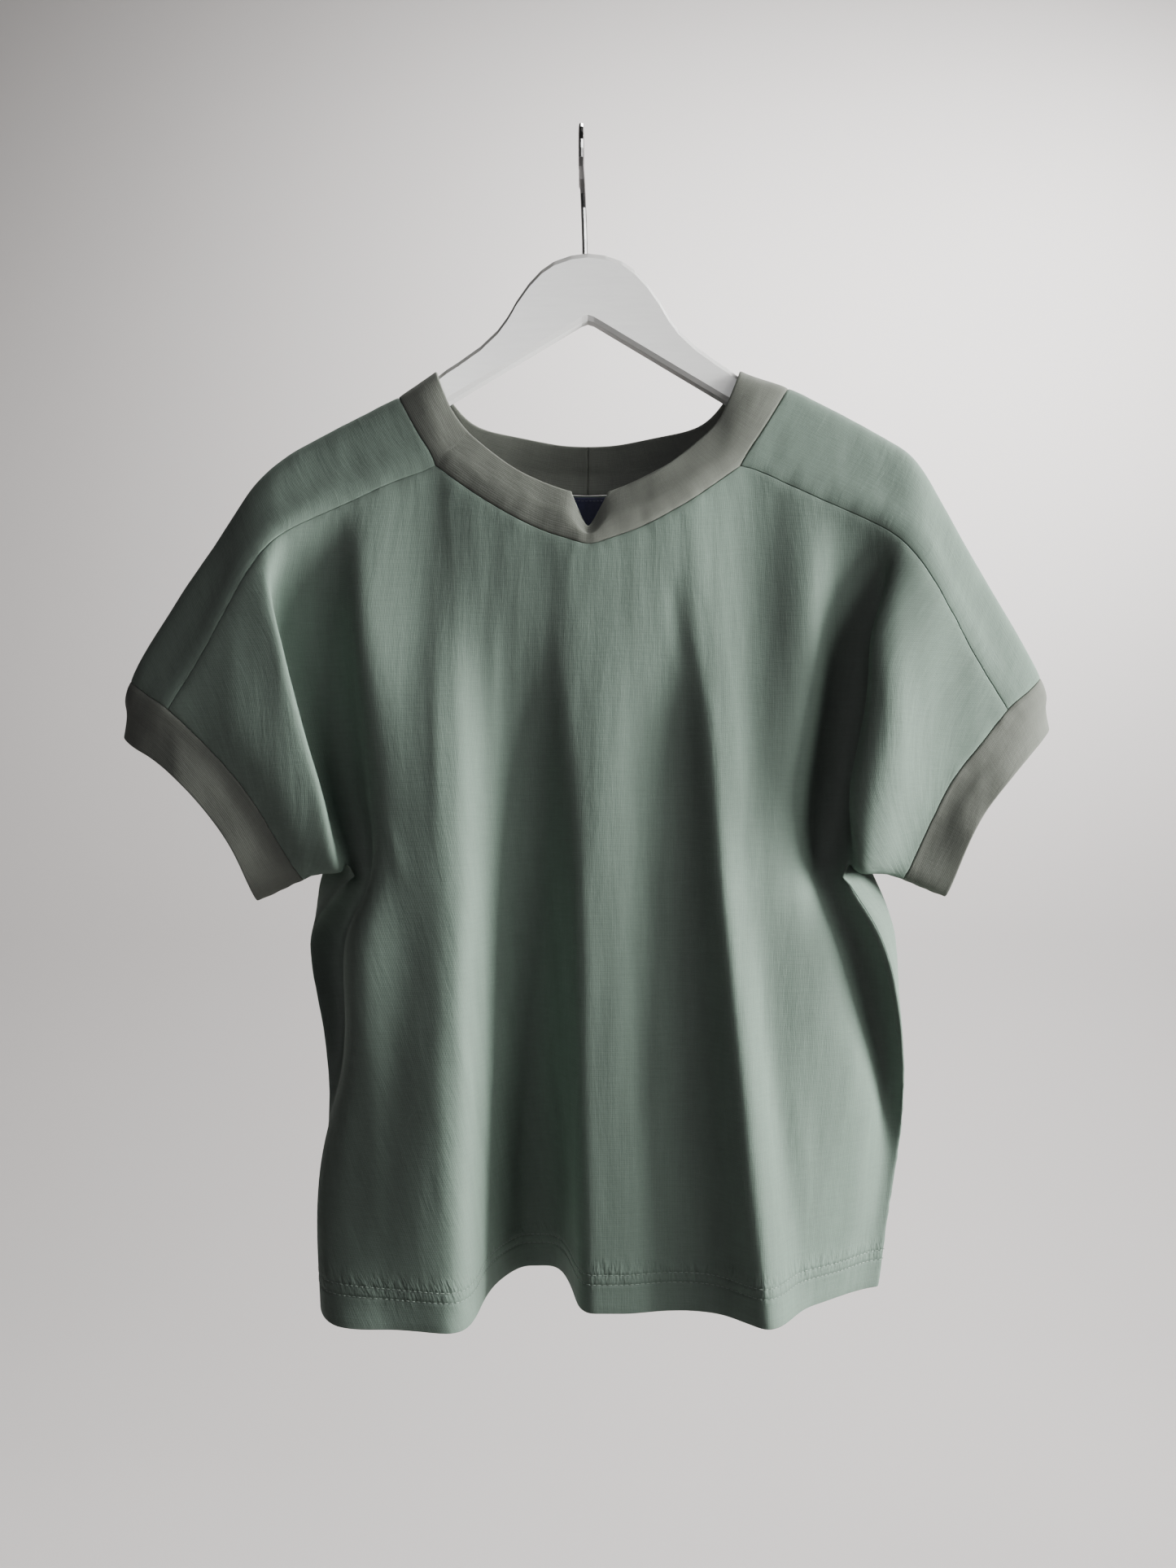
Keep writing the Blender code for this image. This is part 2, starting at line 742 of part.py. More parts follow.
def build_label(paint):
    """The label hangs on the back piece's inner face, a seam's gap in front of it."""
    back = bpy.data.objects["back"].data
    tree = BVHTree.FromPolygons([v.co for v in back.vertices], [p.vertices for p in back.polygons])
    columns = LABEL_COLUMNS
    last = LABEL_ROWS - 1
    outer, inner = [], []
    for j in range(LABEL_ROWS):
        for i in range(columns):
            x = LABEL_CENTRE + LABEL_HALF * (2 * i / (columns - 1) - 1)
            drop = LABEL_TOP_DROP + (LABEL_LOW_DROP - LABEL_TOP_DROP) * j / last
            hit = tree.ray_cast(place(x, drop, 0), Vector((0, 1, 0)))[0]
            rear = hit - Vector((0, 2 * SEAM_GAP * MM, 0))
            outer.append(rear)
            inner.append(rear - Vector((0, LABEL_CLOTH * MM, 0)))
    count = columns * LABEL_ROWS
    faces = []
    for j in range(last):
        for i in range(columns - 1):
            a = j * columns + i
            quad = (a, a + 1, a + columns + 1, a + columns)
            for triangle in split_quad(quad, outer):
                faces.append(triangle)
                faces.append(tuple(count + k for k in reversed(triangle)))
    rim = list(range(columns))
    rim += [j * columns + columns - 1 for j in range(1, LABEL_ROWS)]
    rim += [last * columns + i for i in range(columns - 2, -1, -1)]
    rim += [j * columns for j in range(last - 1, 0, -1)]
    for a, b in zip(rim, rim[1:] + rim[:1]):
        faces.append((b, a, count + a, count + b))
    solid("label", outer + inner, faces, paint)


def hanger_top(out):
    """Upper edge of the wood: its own under the neck, then just under the shirt's ridge."""
    if out <= CROWN["out"][-1]:
        return read(CROWN, "out", out, "drop")
    ridge = RIDGE["right"]
    slope = math.atan2(ridge["drop"][4] - ridge["drop"][0], ridge["out"][4] - ridge["out"][0])
    under_rib = (RIB + BAND_SEAT_GAP) / math.cos(slope)
    under_jersey = (JERSEY + SEAT_GAP) / math.cos(slope)
    band_edge_out, band_edge_drop, _ = rows(SHOULDER_BAND_EDGE)[2]
    outs = np.concatenate(([band_edge_out], ridge["out"]))
    drops = ridge["drop"] + under_jersey
    drops[0] += under_rib - under_jersey
    return float(np.interp(out, outs, np.concatenate(([band_edge_drop + under_rib], drops))))


def section(out, top, bottom, thick):
    """A rounded oblong across the arm, as points in order round it."""
    edge = min(HANGER_EDGE, thick / 2 - LEAST_FLAT, (bottom - top) / 2 - LEAST_FLAT)
    points = []
    for centre_depth, centre_drop, start in (
        (thick / 2 - edge, top + edge, 0),
        (-thick / 2 + edge, top + edge, 90),
        (-thick / 2 + edge, bottom - edge, 180),
        (thick / 2 - edge, bottom - edge, 270),
    ):
        for step in range(3):
            turn = math.radians(start + 45 * step)
            depth = centre_depth + edge * math.cos(turn)
            points.append(place(out, centre_drop - edge * math.sin(turn), depth))
    return points


def hanger_stations():
    """Place, top, bottom and thickness of the wood from the centre to the tip."""
    stations = []
    for out in STATIONS:
        stations.append((out, hanger_top(out), read(LOWER_EDGE, "out", out, "drop"), HANGER_THICK))
    top, bottom = stations[-1][1:3]
    for out, top_in, bottom_in, thinner in rows(TIP):
        stations.append((out, top + top_in, bottom - bottom_in, HANGER_THICK - thinner))
    return stations


def build_hanger(paint):
    """The wood as one loft from tip to tip, with a hole in the crown for the hook's stem."""
    half = hanger_stations()
    whole = [(-out, top, bottom, thick) for out, top, bottom, thick in half[:0:-1]] + half
    rings = [section(*station) for station in whole]
    around = len(rings[0])
    points = [point for ring in rings for point in ring]
    faces = [tuple(range(around))[::-1]]
    for j in range(len(rings) - 1):
        for i in range(around):
            here = j * around
            after = (i + 1) % around
            faces.append((here + i, here + after, here + around + after, here + around + i))
    last = (len(rings) - 1) * around
    faces.append(tuple(last + i for i in range(around)))
    hanger = solid("hanger_body", points, faces, paint)
    bm = bmesh.new()
    bm.from_mesh(hanger.data)
    bmesh.ops.recalc_face_normals(bm, faces=bm.faces)
    bm.to_mesh(hanger.data)
    bm.free()
    bpy.ops.mesh.primitive_cylinder_add(
        vertices=12,
        radius=(WIRE / 2 + SEAM_GAP) * MM,
        depth=2 * (STEM_IN_WOOD + SEAM_GAP) * MM,
        location=place(STEM_X - CENTRE_RIGHT_OF_HOOK, CROWN["drop"][0], 0),
    )
    drill = bpy.context.object
    drill.name = "stem_hole"
    drill.hide_render = True
    drill.display_type = "WIRE"
    bore = hanger.modifiers.new("Stem hole", "BOOLEAN")
    bore.operation = "DIFFERENCE"
    bore.object = drill


def hook_route():
    """The wire's centre line from the free end, over the rod and down into the wood."""
    radius = HOOK_RADIUS + WIRE / 2
    centre = -WIRE / 2 + radius
    route = []
    for turn in range(LOOP_START, LOOP_END - 1, -LOOP_STEP):
        angle = math.radians(turn)
        route.append((0, centre - radius * math.sin(angle), radius * math.cos(angle)))
    route += rows(STEM)
    route.append((STEM_X, CROWN["drop"][0] + STEM_IN_WOOD, 0))
    return [Vector((x, -depth, -drop)) * MM for x, drop, depth in route]


def build_hook(paint):
    curve = bpy.data.curves.new("hanger_hook", "CURVE")
    curve.dimensions = "3D"
    curve.bevel_depth = WIRE / 2 * MM
    curve.bevel_resolution = 2
    curve.use_fill_caps = True
    route = hook_route()
    spline = curve.splines.new("POLY")
    spline.points.add(len(route) - 1)
    for target, point in zip(spline.points, route):
        target.co = (*point, 1)
    curve.materials.append(paint)
    hook = bpy.data.objects.new("hanger_hook", curve)
    bpy.context.scene.collection.objects.link(hook)


def main():
    for leftover in list(bpy.data.objects):
        bpy.data.objects.remove(leftover)
    sage = painted("sage_jersey", (0.21, 0.27, 0.235), 0.9)
    band = painted("grey_green_rib", (0.225, 0.245, 0.215), 0.92)
    build_shirt(sage, band)
    build_label(painted("label_cloth", (0.03, 0.035, 0.08), 0.8))
    build_hanger(painted("white_wood", (0.78, 0.78, 0.77), 0.45))
    build_hook(painted("chromed_wire", (0.78, 0.78, 0.78), 0.12, 1.0))


main()
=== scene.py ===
"""Dresses the t-shirt and its hanger: drawn cloth, ribs, sewing, label, paint and studio.

Run as a script in Blender 4.5. Metres, +Z up, the shirt's front towards -Y. Tables are in millimetres:
`out` is a distance from the hanger's centre line, `drop` a distance below the hook's inner top and
`depth` a distance in front of the hanger.
"""

import math

import bmesh
import bpy
import numpy as np
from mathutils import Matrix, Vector, noise
from mathutils.bvhtree import BVHTree
from mathutils.kdtree import KDTree


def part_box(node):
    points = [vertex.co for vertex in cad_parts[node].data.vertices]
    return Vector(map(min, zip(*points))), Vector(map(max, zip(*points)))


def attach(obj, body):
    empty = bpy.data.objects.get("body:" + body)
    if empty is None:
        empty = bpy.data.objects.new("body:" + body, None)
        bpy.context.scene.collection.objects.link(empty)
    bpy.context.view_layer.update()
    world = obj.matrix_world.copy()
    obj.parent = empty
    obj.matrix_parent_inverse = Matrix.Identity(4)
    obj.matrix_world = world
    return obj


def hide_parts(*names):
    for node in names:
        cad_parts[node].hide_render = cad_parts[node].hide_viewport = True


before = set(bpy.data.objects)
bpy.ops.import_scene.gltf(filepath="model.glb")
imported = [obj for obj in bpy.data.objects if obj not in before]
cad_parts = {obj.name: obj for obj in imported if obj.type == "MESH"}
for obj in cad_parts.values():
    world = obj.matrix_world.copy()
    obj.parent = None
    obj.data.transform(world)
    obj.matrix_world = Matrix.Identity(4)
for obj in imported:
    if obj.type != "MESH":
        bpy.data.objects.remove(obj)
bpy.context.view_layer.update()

bl_info = {
    "name": "T-shirt on a hanger",
    "version": (1, 0, 0),
    "blender": (4, 5, 0),
    "location": "3D View > Sidebar > Garment",
    "description": "Lays the cloth, sewing, label and finishes over the packed shirt",
    "category": "Object",
}

MM = 0.001

# Millimetres in one unit of the flat cut's UV map
CUT_UNIT = 100

# Sharpness of the side seam. From half a jersey wall inside the skin, each point looks for the
# skin opposite, no further than the longest look; the cloth takes at most the pinched share of that
SIDE_SEAM_CREASE = 0.5
JERSEY = 1.5
LONGEST_LOOK = 12.0
PINCHED_SHARE = 0.35

# Levels of the hem, underarm, chest and hip below the hook
HEM_DROP = 740.5
ARM_DROP = 480.0
CHEST_DROP = 380.0
HIP_DROP = 605.0

# The hanger's centre line is this far towards the wearer's left from the hook
CENTRE_LEFT_OF_HOOK = 4.3


def table(columns, *rows):
    """One array for each named column."""
    return dict(zip(columns.split(), np.array(rows, float).T))


def rows(source):
    return [tuple(row) for row in np.transpose(list(source.values())).tolist()]


def read(source, key, value, column):
    """The value of a column where another column has the value given."""
    return float(np.interp(value, source[key], source[column]))


# Seams of the shoulder panel, from the neckband to the cuff
SHOULDER = table(
    "front_out front_drop front_depth back_out back_drop back_depth",
    (96, 221, 22, 94, 206, -27),
    (118, 229, 22, 116, 216, -28),
    (140, 239.5, 23, 138, 227, -28),
    (160, 248.5, 24, 160, 240, -28),
    (182, 260, 26, 182, 254, -27),
    (203, 275, 29.5, 204, 272, -26),
    (222.5, 304, 27, 223, 302, -25),
    (243, 343, 25, 243, 341, -24),
    (264, 374.5, 24, 264, 374.5, -22),
)

# The rows of that table, by the line of the shirt that starts there
CORNER, FIRST, SECOND, RECESS, ARMHOLE, EDGE, CREST, OUTER, CUFF = range(9)

# Two lines between a seam and the shoulder ridge: share of the way from the ridge, share of depth
ACROSS = table("way depth", (0.6, 0.8), (0.09, 0.43))

# The shoulder ridge over the hanger and down the sleeve, at the same stations
RIDGE = {
    "right": table(
        "out drop",
        (122, 172.6),
        (139, 181.4),
        (156, 190.2),
        (174, 199.8),
        (193, 211.4),
        (212, 228),
        (234, 259.5),
        (263, 302.5),
        (294.5, 356),
    ),
    "left": table(
        "out drop",
        (129, 167),
        (144, 174.5),
        (160, 182.5),
        (177, 191.5),
        (195, 202.3),
        (213, 217.5),
        (236, 257),
        (262, 302),
        (291, 354),
    ),
}

# Front of each sleeve, a row for each level from its shoulder seam to its lower edge
SLEEVE_COLUMNS = "edge_out edge_depth crest_out crest_depth outer_out outer_depth cuff_out cuff_depth"
SLEEVE = {
    "right": table(
        SLEEVE_COLUMNS,
        (203, 28, 222.5, 28, 243, 27, 264, 24),
        (193.5, 33, 199.5, 36, 224, 34, 240, 27),
        (183.5, 35, 189.5, 39, 208, 37, 219.5, 29),
        (172, 35, 178, 40, 194, 37.5, 204, 29.5),
        (160.5, 35, 167, 39, 183, 34.5, 192, 26),
        (153, 27, 163, 24, 172, 19, 179, 15),
    ),
    "left": table(
        SLEEVE_COLUMNS,
        (203, 28, 222.5, 28, 243, 27, 264, 22),
        (177.5, 30, 194, 41, 220, 32, 246.5, 26),
        (172, 34, 186.5, 47, 208, 36, 228, 28),
        (165.5, 36, 179, 49, 200, 38, 217, 27),
        (159.5, 35, 173, 45, 194, 33, 207.5, 24),
        (168, 30, 179, 24, 190, 17, 198.6, 13),
    ),
}
SLEEVE_LOWER_DROP = {"edge": 478.5, "crest": 479, "outer": 480.5, "cuff": 483}
SLEEVE_BACK_DEPTH = (-26, -33, -36, -34, -20)

# Armhole, recess and second line of each side, by height: above the underarm the first runs up
# behind the sleeve's inner edge, and below it is the side seam
SIDE_COLUMNS = "drop seam_out seam_depth recess_out recess_depth second_out second_depth"
SIDE = {
    "right": table(
        SIDE_COLUMNS,
        (250, 182, 26, 160, 24, 139, 23),
        (304, 200, 14, 163, 12, 147, 27),
        (348, 192, 9, 158, 6, 142, 30),
        (392, 181, 8, 152, 4, 139, 30),
        (436, 168, 8, 146, 2, 135, 31),
        (480, 147, 22, 137, 15, 134, 36),
        (516, 179, -3, 158, -12, 147, 42),
        (560, 177, -8, 157, -12, 147.5, 44),
        (605, 169.5, -4, 158, 2, 149, 45),
        (650, 168, 0, 166, 22, 156, 45),
        (695, 169.5, 0, 167, 32, 156, 54),
        (740.5, 169.5, 0, 164, 40, 148, 70),
    ),
    "left": table(
        SIDE_COLUMNS,
        (250, 182, 26, 160, 24, 140, 23),
        (304, 190, 14, 160, 14, 142, 27),
        (348, 187, 9, 158, 7, 141, 29),
        (392, 180, 8, 154, 4, 138, 28),
        (436, 170, 10, 150, 5, 134, 26),
        (480, 159, 30, 147, 17, 134, 28),
        (516, 180.5, 38, 163, 22, 147, 32),
        (560, 192, 36, 176, 19, 157, 35),
        (605, 198.5, 24, 186, 14, 167, 32),
        (650, 200, 8, 187, 10, 167, 29),
        (695, 192.5, 9, 180, 14, 162, 30),
        (740.5, 185, 13, 171, 20, 150, 34),
    ),
}
BACK_SIDE = {
    "right": table(
        SIDE_COLUMNS,
        (230, 182, -27, 160, -28, 138, -28),
        (299, 182, -32, 160, -36, 138, -38),
        (344, 178, -32, 159, -37, 138, -40),
        (390, 172, -30, 158, -36, 138, -42),
        (436, 164, -18, 156, -32, 138, -42),
        (480, 147, 22, 178, -26, 144, -44),
        (516, 179, -3, 177, -38, 143, -46),
        (605, 169.5, -4, 163, -36, 142, -46),
        (740.5, 169.5, 0, 160, -36, 142, -46),
    ),
    "left": table(
        SIDE_COLUMNS,
        (230, 182, -27, 160, -28, 138, -28),
        (299, 184, -32, 162, -36, 139, -38),
        (344, 182, -32, 163, -37, 139, -40),
        (390, 178, -30, 164, -36, 139, -42),
        (436, 172, -18, 170, -30, 140, -42),
        (480, 159, 30, 186, -14, 144, -42),
        (516, 180.5, 38, 197, -12, 152, -44),
        (605, 198.5, 24, 196, -34, 158, -50),
        (740.5, 185, 13, 176, -30, 150, -46),
    ),
}

# Fold lines between the two sides, from the wearer's right to the left
FOLD_COLUMNS = "yoke_x arm_x hem_x yoke_depth chest_depth hip_depth hem_depth"
FRONT_FOLDS = table(
    FOLD_COLUMNS,
    (-118, -117, -115, 22, 36, 58, 74),
    (-96, -92, -91, 22, 38, 67, 78),
    (-88, -73, -70, 24, 36.5, 62, 72),
    (-72, -65, -62.5, 26, 29.5, 33, 25),
    (-54, -52, -46, 28, 25, 8, -12),
    (-40, -38, -34, 29, 24, 2, -17),
    (-25, -25, -22, 30, 27, 7, -15),
    (-12, -14, -12.5, 31.5, 33.5, 27, 8),
    (0, -6, -5, 32, 35.5, 42, 46),
    (12, 5, 8, 32, 36, 45, 53),
    (29, 22, 28, 31.5, 33.5, 43, 53),
    (45, 46, 56, 31, 30, 39, 49),
    (57, 67, 84, 30, 32.5, 46, 57),
    (69, 81, 103, 28.5, 39.5, 62, 74),
    (96, 97, 119, 22, 32, 52, 64),
    (118, 113, 133, 22, 30.5, 45, 46),
)
BACK_FOLDS = table(
    FOLD_COLUMNS,
    (-116, -118, -122, -28, -42, -50, -56),
    (-94, -96, -100, -27, -46, -61, -70),
    (-66, -72, -79, -33, -51, -66, -76),
    (-44, -50, -53, -38, -49, -55, -58),
    (-22, -24, -25, -42, -47, -47, -45),
    (0, 2, 3, -44, -51, -55, -58),
    (22, 27, 30, -42, -56, -69, -78),
    (44, 51, 57, -38, -52, -64, -72),
    (66, 75, 82, -33, -45, -48, -50),
    (94, 99, 105, -27, -40, -43, -45),
    (116, 121, 127, -28, -43, -51, -58),
)

# Neck seam: its middle in front and behind, and how it rises to the corners
FRONT_NECK_DROP = 271.4
BACK_NECK_DROP = 224.0
NECK_RISE_POWER = {"front": 1.5, "back": 2.0}

# Upper edge of the band opposite places on its seam, and over each shoulder
FRONT_BAND_EDGE = table(
    "seam_out out drop depth",
    (0, 0, 238.5, 26),
    (12, 11.4, 238.5, 26),
    (32, 27, 233, 25.5),
    (53, 43, 225, 25),
    (70, 56, 216, 22),
    (83, 66, 208, 19.5),
    (96, 76, 198, 16.5),
)
BACK_BAND_EDGE = table(
    "seam_out out drop depth",
    (0, 0, 193, -36),
    (22, 18, 192.5, -35),
    (44, 35, 190.5, -31.5),
    (66, 52, 188, -28),
    (94, 72, 184, -23),
)
SHOULDER_BAND_EDGE = table(
    "out drop depth",
    (86, 184, 14),
    (95, 163, 9.5),
    (98, 155, 0),
    (94.5, 162, -9.5),
    (85, 175, -16),
)

# Notch at the centre front, and the band's slight roundness
NOTCH_DROP = 263.0
NOTCH_HALF = 12.0
NOTCH_SHIFT = 1.0
BAND_MIDDLE_SWELL = 1.5

# Free edge of each cuff: over the shoulder from front to back, then down to the underarm
CUFF_OVER = {
    "right": table(
        "out drop depth",
        (286, 400, 16),
        (296.5, 394, 8),
        (299.7, 391.5, 0),
        (296.5, 394, -7),
        (286, 400, -13),
    ),
    "left": table(
        "out drop depth",
        (287, 396, 15),
        (294.5, 389, 8),
        (297.6, 386, 0),
        (294.5, 389, -7),
        (287, 396, -13),
    ),
}
CUFF_DOWN = {
    "right": table(
        "out drop front_depth back_depth",
        (275, 406, 20, -18),
        (255, 421, 28, -23),
        (238, 440, 28, -23),
        (225, 458.5, 28, -21),
        (217, 477, 23, -11),
        (211, 497.5, 8, 8),
    ),
    "left": table(
        "out drop front_depth back_depth",
        (278.5, 404, 20, -18),
        (262, 421, 28, -23),
        (249, 438, 28, -23),
        (240, 454, 28, -21),
        (234, 473, 21, -11),
        (228, 495, 8, 8),
    ),
}

# How the skin is fitted to the tables, and how late the front's folds begin below the yoke
FITTING_ROUNDS = 3
SMOOTH_LEVEL = 3
FOLD_START = 2.6
UPPER_ROWS = 5
LOWER_DROPS = (516, 560, 605, 650, 695, HEM_DROP)

PANELS = ("front", "back", "shoulder_right", "shoulder_left", "neckband", "cuff_right", "cuff_left")
SIDES = ("right", "left")
SIGN = {"right": -1, "left": 1}


def place(x, drop, depth):
    """A point in metres from millimetres about the hanger's centre line."""
    return Vector((x + CENTRE_LEFT_OF_HOOK, -depth, -drop)) * MM


class Cage:
    """The control mesh of the whole shirt, one skin with its pieces told apart by tag."""

    def __init__(self):
        self.points = []
        self.faces = []
        self.tags = []
        self.corners = []
        self.sharp = []
        self.joins = set()
        self.ridges = set()

    def add(self, x, drop, depth):
        self.points.append(place(x, drop, depth))
        return len(self.points) - 1

    def patch(self, panel, lines, middle=0, hung=False):
        """Faces between neighbouring lines of point numbers, and where they lie in the flat cut."""
        flat = cut_out(self, lines, middle, hung)
        for j, (here, there) in enumerate(zip(lines, lines[1:])):
            for i in range(len(here) - 1):
                self.faces.append((here[i], here[i + 1], there[i + 1], there[i]))
                self.corners.append((flat[j][i], flat[j][i + 1], flat[j + 1][i + 1], flat[j + 1][i]))
                self.tags.append(PANELS.index(panel))


def neck_drop(face, x):
    centre = FRONT_NECK_DROP if face == "front" else BACK_NECK_DROP
    corner_out, corner_drop, _ = on_seam(face, CORNER)
    return centre - (centre - corner_drop) * (abs(x) / corner_out) ** NECK_RISE_POWER[face]


def on_seam(face, station):
    """Distance out, drop and depth of one place on a shoulder seam."""
    return tuple(SHOULDER[face + part][station] for part in ("_out", "_drop", "_depth"))


def levels(top, bottom):
    return [top + (bottom - top) * i / UPPER_ROWS for i in range(UPPER_ROWS + 1)]


def fold_line(cage, face, folds, index, top_drop):
    """One fold line from the yoke to the hem."""
    line = []
    x_stops = (top_drop, ARM_DROP, HEM_DROP)
    depth_stops = (top_drop, CHEST_DROP, HIP_DROP, HEM_DROP)
    xs = [folds[name][index] for name in ("yoke_x", "arm_x", "hem_x")]
    depths = [folds[name][index] for name in ("yoke_depth", "chest_depth", "hip_depth", "hem_depth")]
    for drop in levels(top_drop, ARM_DROP) + list(LOWER_DROPS):
        depth = np.interp(drop, depth_stops, depths)
        share = max(0.0, (drop - top_drop) / (CHEST_DROP - top_drop))
        if face == "front" and share < 1:
            depth = depths[0] + (depths[1] - depths[0]) * share**FOLD_START
        line.append(cage.add(np.interp(drop, x_stops, xs), drop, depth))
    return line


def side_line(cage, face, side, name, station):
    """The armhole and side seam, or one of the two lines next to it."""
    source = (SIDE if face == "front" else BACK_SIDE)[side]
    out, top, depth = on_seam(face, station)
    line = [cage.add(SIGN[side] * out, top, depth)]
    for drop in levels(top, ARM_DROP)[1:] + list(LOWER_DROPS):
        out, depth = (read(source, "drop", drop, name + part) for part in ("_out", "_depth"))
        line.append(cage.add(SIGN[side] * out, drop, depth))
    return line


def sleeve_line(cage, face, side, name, station, lower_point):
    """One line of a sleeve from the shoulder panel to the sleeve's lower edge."""
    source = SLEEVE[side]
    drops = levels(SHOULDER[face + "_drop"][station], SLEEVE_LOWER_DROP[name])
    line = []
    for i, drop in enumerate(drops):
        if i == UPPER_ROWS and lower_point is not None:
            line.append(lower_point)
            continue
        depth = source[name + "_depth"][i] if face == "front" else SLEEVE_BACK_DEPTH[i]
        line.append(cage.add(SIGN[side] * source[name + "_out"][i], drop, depth))
    return line


def panel_lines(cage, face, shared):
    """All lines of the front or the back from one cuff to the other, by side and by fold."""
    folds = FRONT_FOLDS if face == "front" else BACK_FOLDS
    lines = {"right": {}, "left": {}, "folds": []}
    for side in SIDES:
        given = shared[side] if shared else {}
        for name, station in (("cuff", CUFF), ("outer", OUTER), ("crest", CREST), ("edge", EDGE)):
            lower = given[name][UPPER_ROWS] if given else None
            lines[side][name] = sleeve_line(cage, face, side, name, station, lower)
        seam = side_line(cage, face, side, "seam", ARMHOLE)
        if given:
            seam = seam[:UPPER_ROWS] + given["seam"][UPPER_ROWS:]
        cage.sharp.append(seam[UPPER_ROWS])
        cage.ridges.update(map(frozenset, zip(seam[UPPER_ROWS:], seam[UPPER_ROWS + 1 :])))
        lines[side]["seam"] = seam
        lines[side]["recess"] = side_line(cage, face, side, "recess", RECESS)
        lines[side]["second"] = side_line(cage, face, side, "second", SECOND)
    count = len(folds["yoke_x"])
    for index in range(count):
        station = FIRST if index in (0, count - 1) else CORNER if index in (1, count - 2) else None
        if station is None:
            top = neck_drop(face, folds["yoke_x"][index])
        else:
            top = SHOULDER[face + "_drop"][station]
        lines["folds"].append(fold_line(cage, face, folds, index, top))
    return lines


def add_panel(cage, face, lines):
    order = ("cuff", "outer", "crest", "edge", "seam", "recess", "second")
    across = [lines["right"][name] for name in order] + lines["folds"]
    across += [lines["left"][name] for name in reversed(order)]
    middle = across[len(order) + len(lines["folds"]) // 2]
    upper = [line[: UPPER_ROWS + 1] for line in across]
    lower = [line[UPPER_ROWS:] for line in across if len(line) > UPPER_ROWS + 1]
    cage.patch(face, upper, across.index(middle), hung=True)
    cage.patch(face, lower, lower.index(middle[UPPER_ROWS:]), hung=True)


def seam_tops(lines, side):
    """Top points of a panel along one shoulder seam, from the neck corner to the cuff."""
    folds = lines["folds"] if side == "right" else lines["folds"][::-1]
    names = ("second", "recess", "seam", "edge", "crest", "outer", "cuff")
    return [folds[1][0], folds[0][0]] + [lines[side][name][0] for name in names]


def add_shoulder(cage, side, front, back):
    """The panel over the shoulder; returns its lines across, from the neck to the cuff."""
    lines = []
    front_tops = seam_tops(front, side)
    back_tops = seam_tops(back, side)
    for k, (front_top, back_top) in enumerate(zip(front_tops, back_tops)):
        ridge_out, ridge_drop = (RIDGE[side][part][k] for part in ("out", "drop"))
        inner = {}
        for face in ("front", "back"):
            seam_out, seam_drop, seam_depth = on_seam(face, k)
            for share, depth_share in rows(ACROSS):
                out = ridge_out + (seam_out - ridge_out) * share
                drop = ridge_drop + (seam_drop - ridge_drop) * share
                inner[face, share] = cage.add(SIGN[side] * out, drop, seam_depth * depth_share)
        wide, near = ACROSS["way"]
        ridge = cage.add(SIGN[side] * ridge_out, ridge_drop, 0)
        over = [inner["front", wide], inner["front", near], ridge]
        over += [inner["back", near], inner["back", wide]]
        lines.append([front_top] + over + [back_top])
    cage.patch("shoulder_" + side, lines)
    return lines


def half_way(cage, seam, edge, swell):
    """A point half way from a seam point to an edge point, swelled away from the shirt's middle."""
    middle = (cage.points[seam] + cage.points[edge]) / 2
    middle.y += math.copysign(swell * MM, middle.y)
    cage.points.append(middle)
    return len(cage.points) - 1


def add_band(cage, panel, seam, edge, closing, swell=0.0):
    """Two rows of faces between a band's seam and its free edge, sewn closed at one place."""
    middle = [half_way(cage, a, b, swell) for a, b in zip(seam, edge)]
    rings = (seam, middle, edge)
    cage.patch(panel, [ring + ring[:1] for ring in rings])
    for lower, upper in zip(rings, rings[1:]):
        cage.joins.add(frozenset((lower[closing], upper[closing])))


def band_edge(source, x):
    """The neckband's upper edge opposite a place on its seam."""
    out, drop, depth = (read(source, "seam_out", abs(x), name) for name in ("out", "drop", "depth"))
    return math.copysign(out, x), drop, depth


def add_neckband(cage, front, back, over):
    """The band: up the front from the right shoulder, over the left one and round the back."""
    seam, edge = [], []
    inner_front = front["folds"][1:-1]
    for line, x in zip(inner_front, FRONT_FOLDS["yoke_x"][1:-1]):
        out, drop, depth = band_edge(FRONT_BAND_EDGE, x)
        shift = NOTCH_SHIFT if abs(x) <= NOTCH_HALF else 0
        if x == 0:
            drop, shift = NOTCH_DROP, 0
        seam.append(line[0])
        edge.append(cage.add(out + shift, drop, depth))
        if abs(x) <= NOTCH_HALF:
            cage.sharp.append(edge[-1])
    shoulder_edge = rows(SHOULDER_BAND_EDGE)
    for point, (out, drop, depth) in zip(over["left"][0][1:-1], shoulder_edge):
        seam.append(point)
        edge.append(cage.add(out, drop, depth))
    inner_back = back["folds"][1:-1]
    for line, x in zip(inner_back[::-1], BACK_FOLDS["yoke_x"][1:-1][::-1]):
        seam.append(line[0])
        edge.append(cage.add(*band_edge(BACK_BAND_EDGE, x)))
        if x == 0:
            centre_back = len(seam) - 1
    for point, (out, drop, depth) in zip(over["right"][0][-2:0:-1], shoulder_edge[::-1]):
        seam.append(point)
        edge.append(cage.add(-out, drop, depth))
    add_band(cage, "neckband", seam, edge, centre_back, BAND_MIDDLE_SWELL)


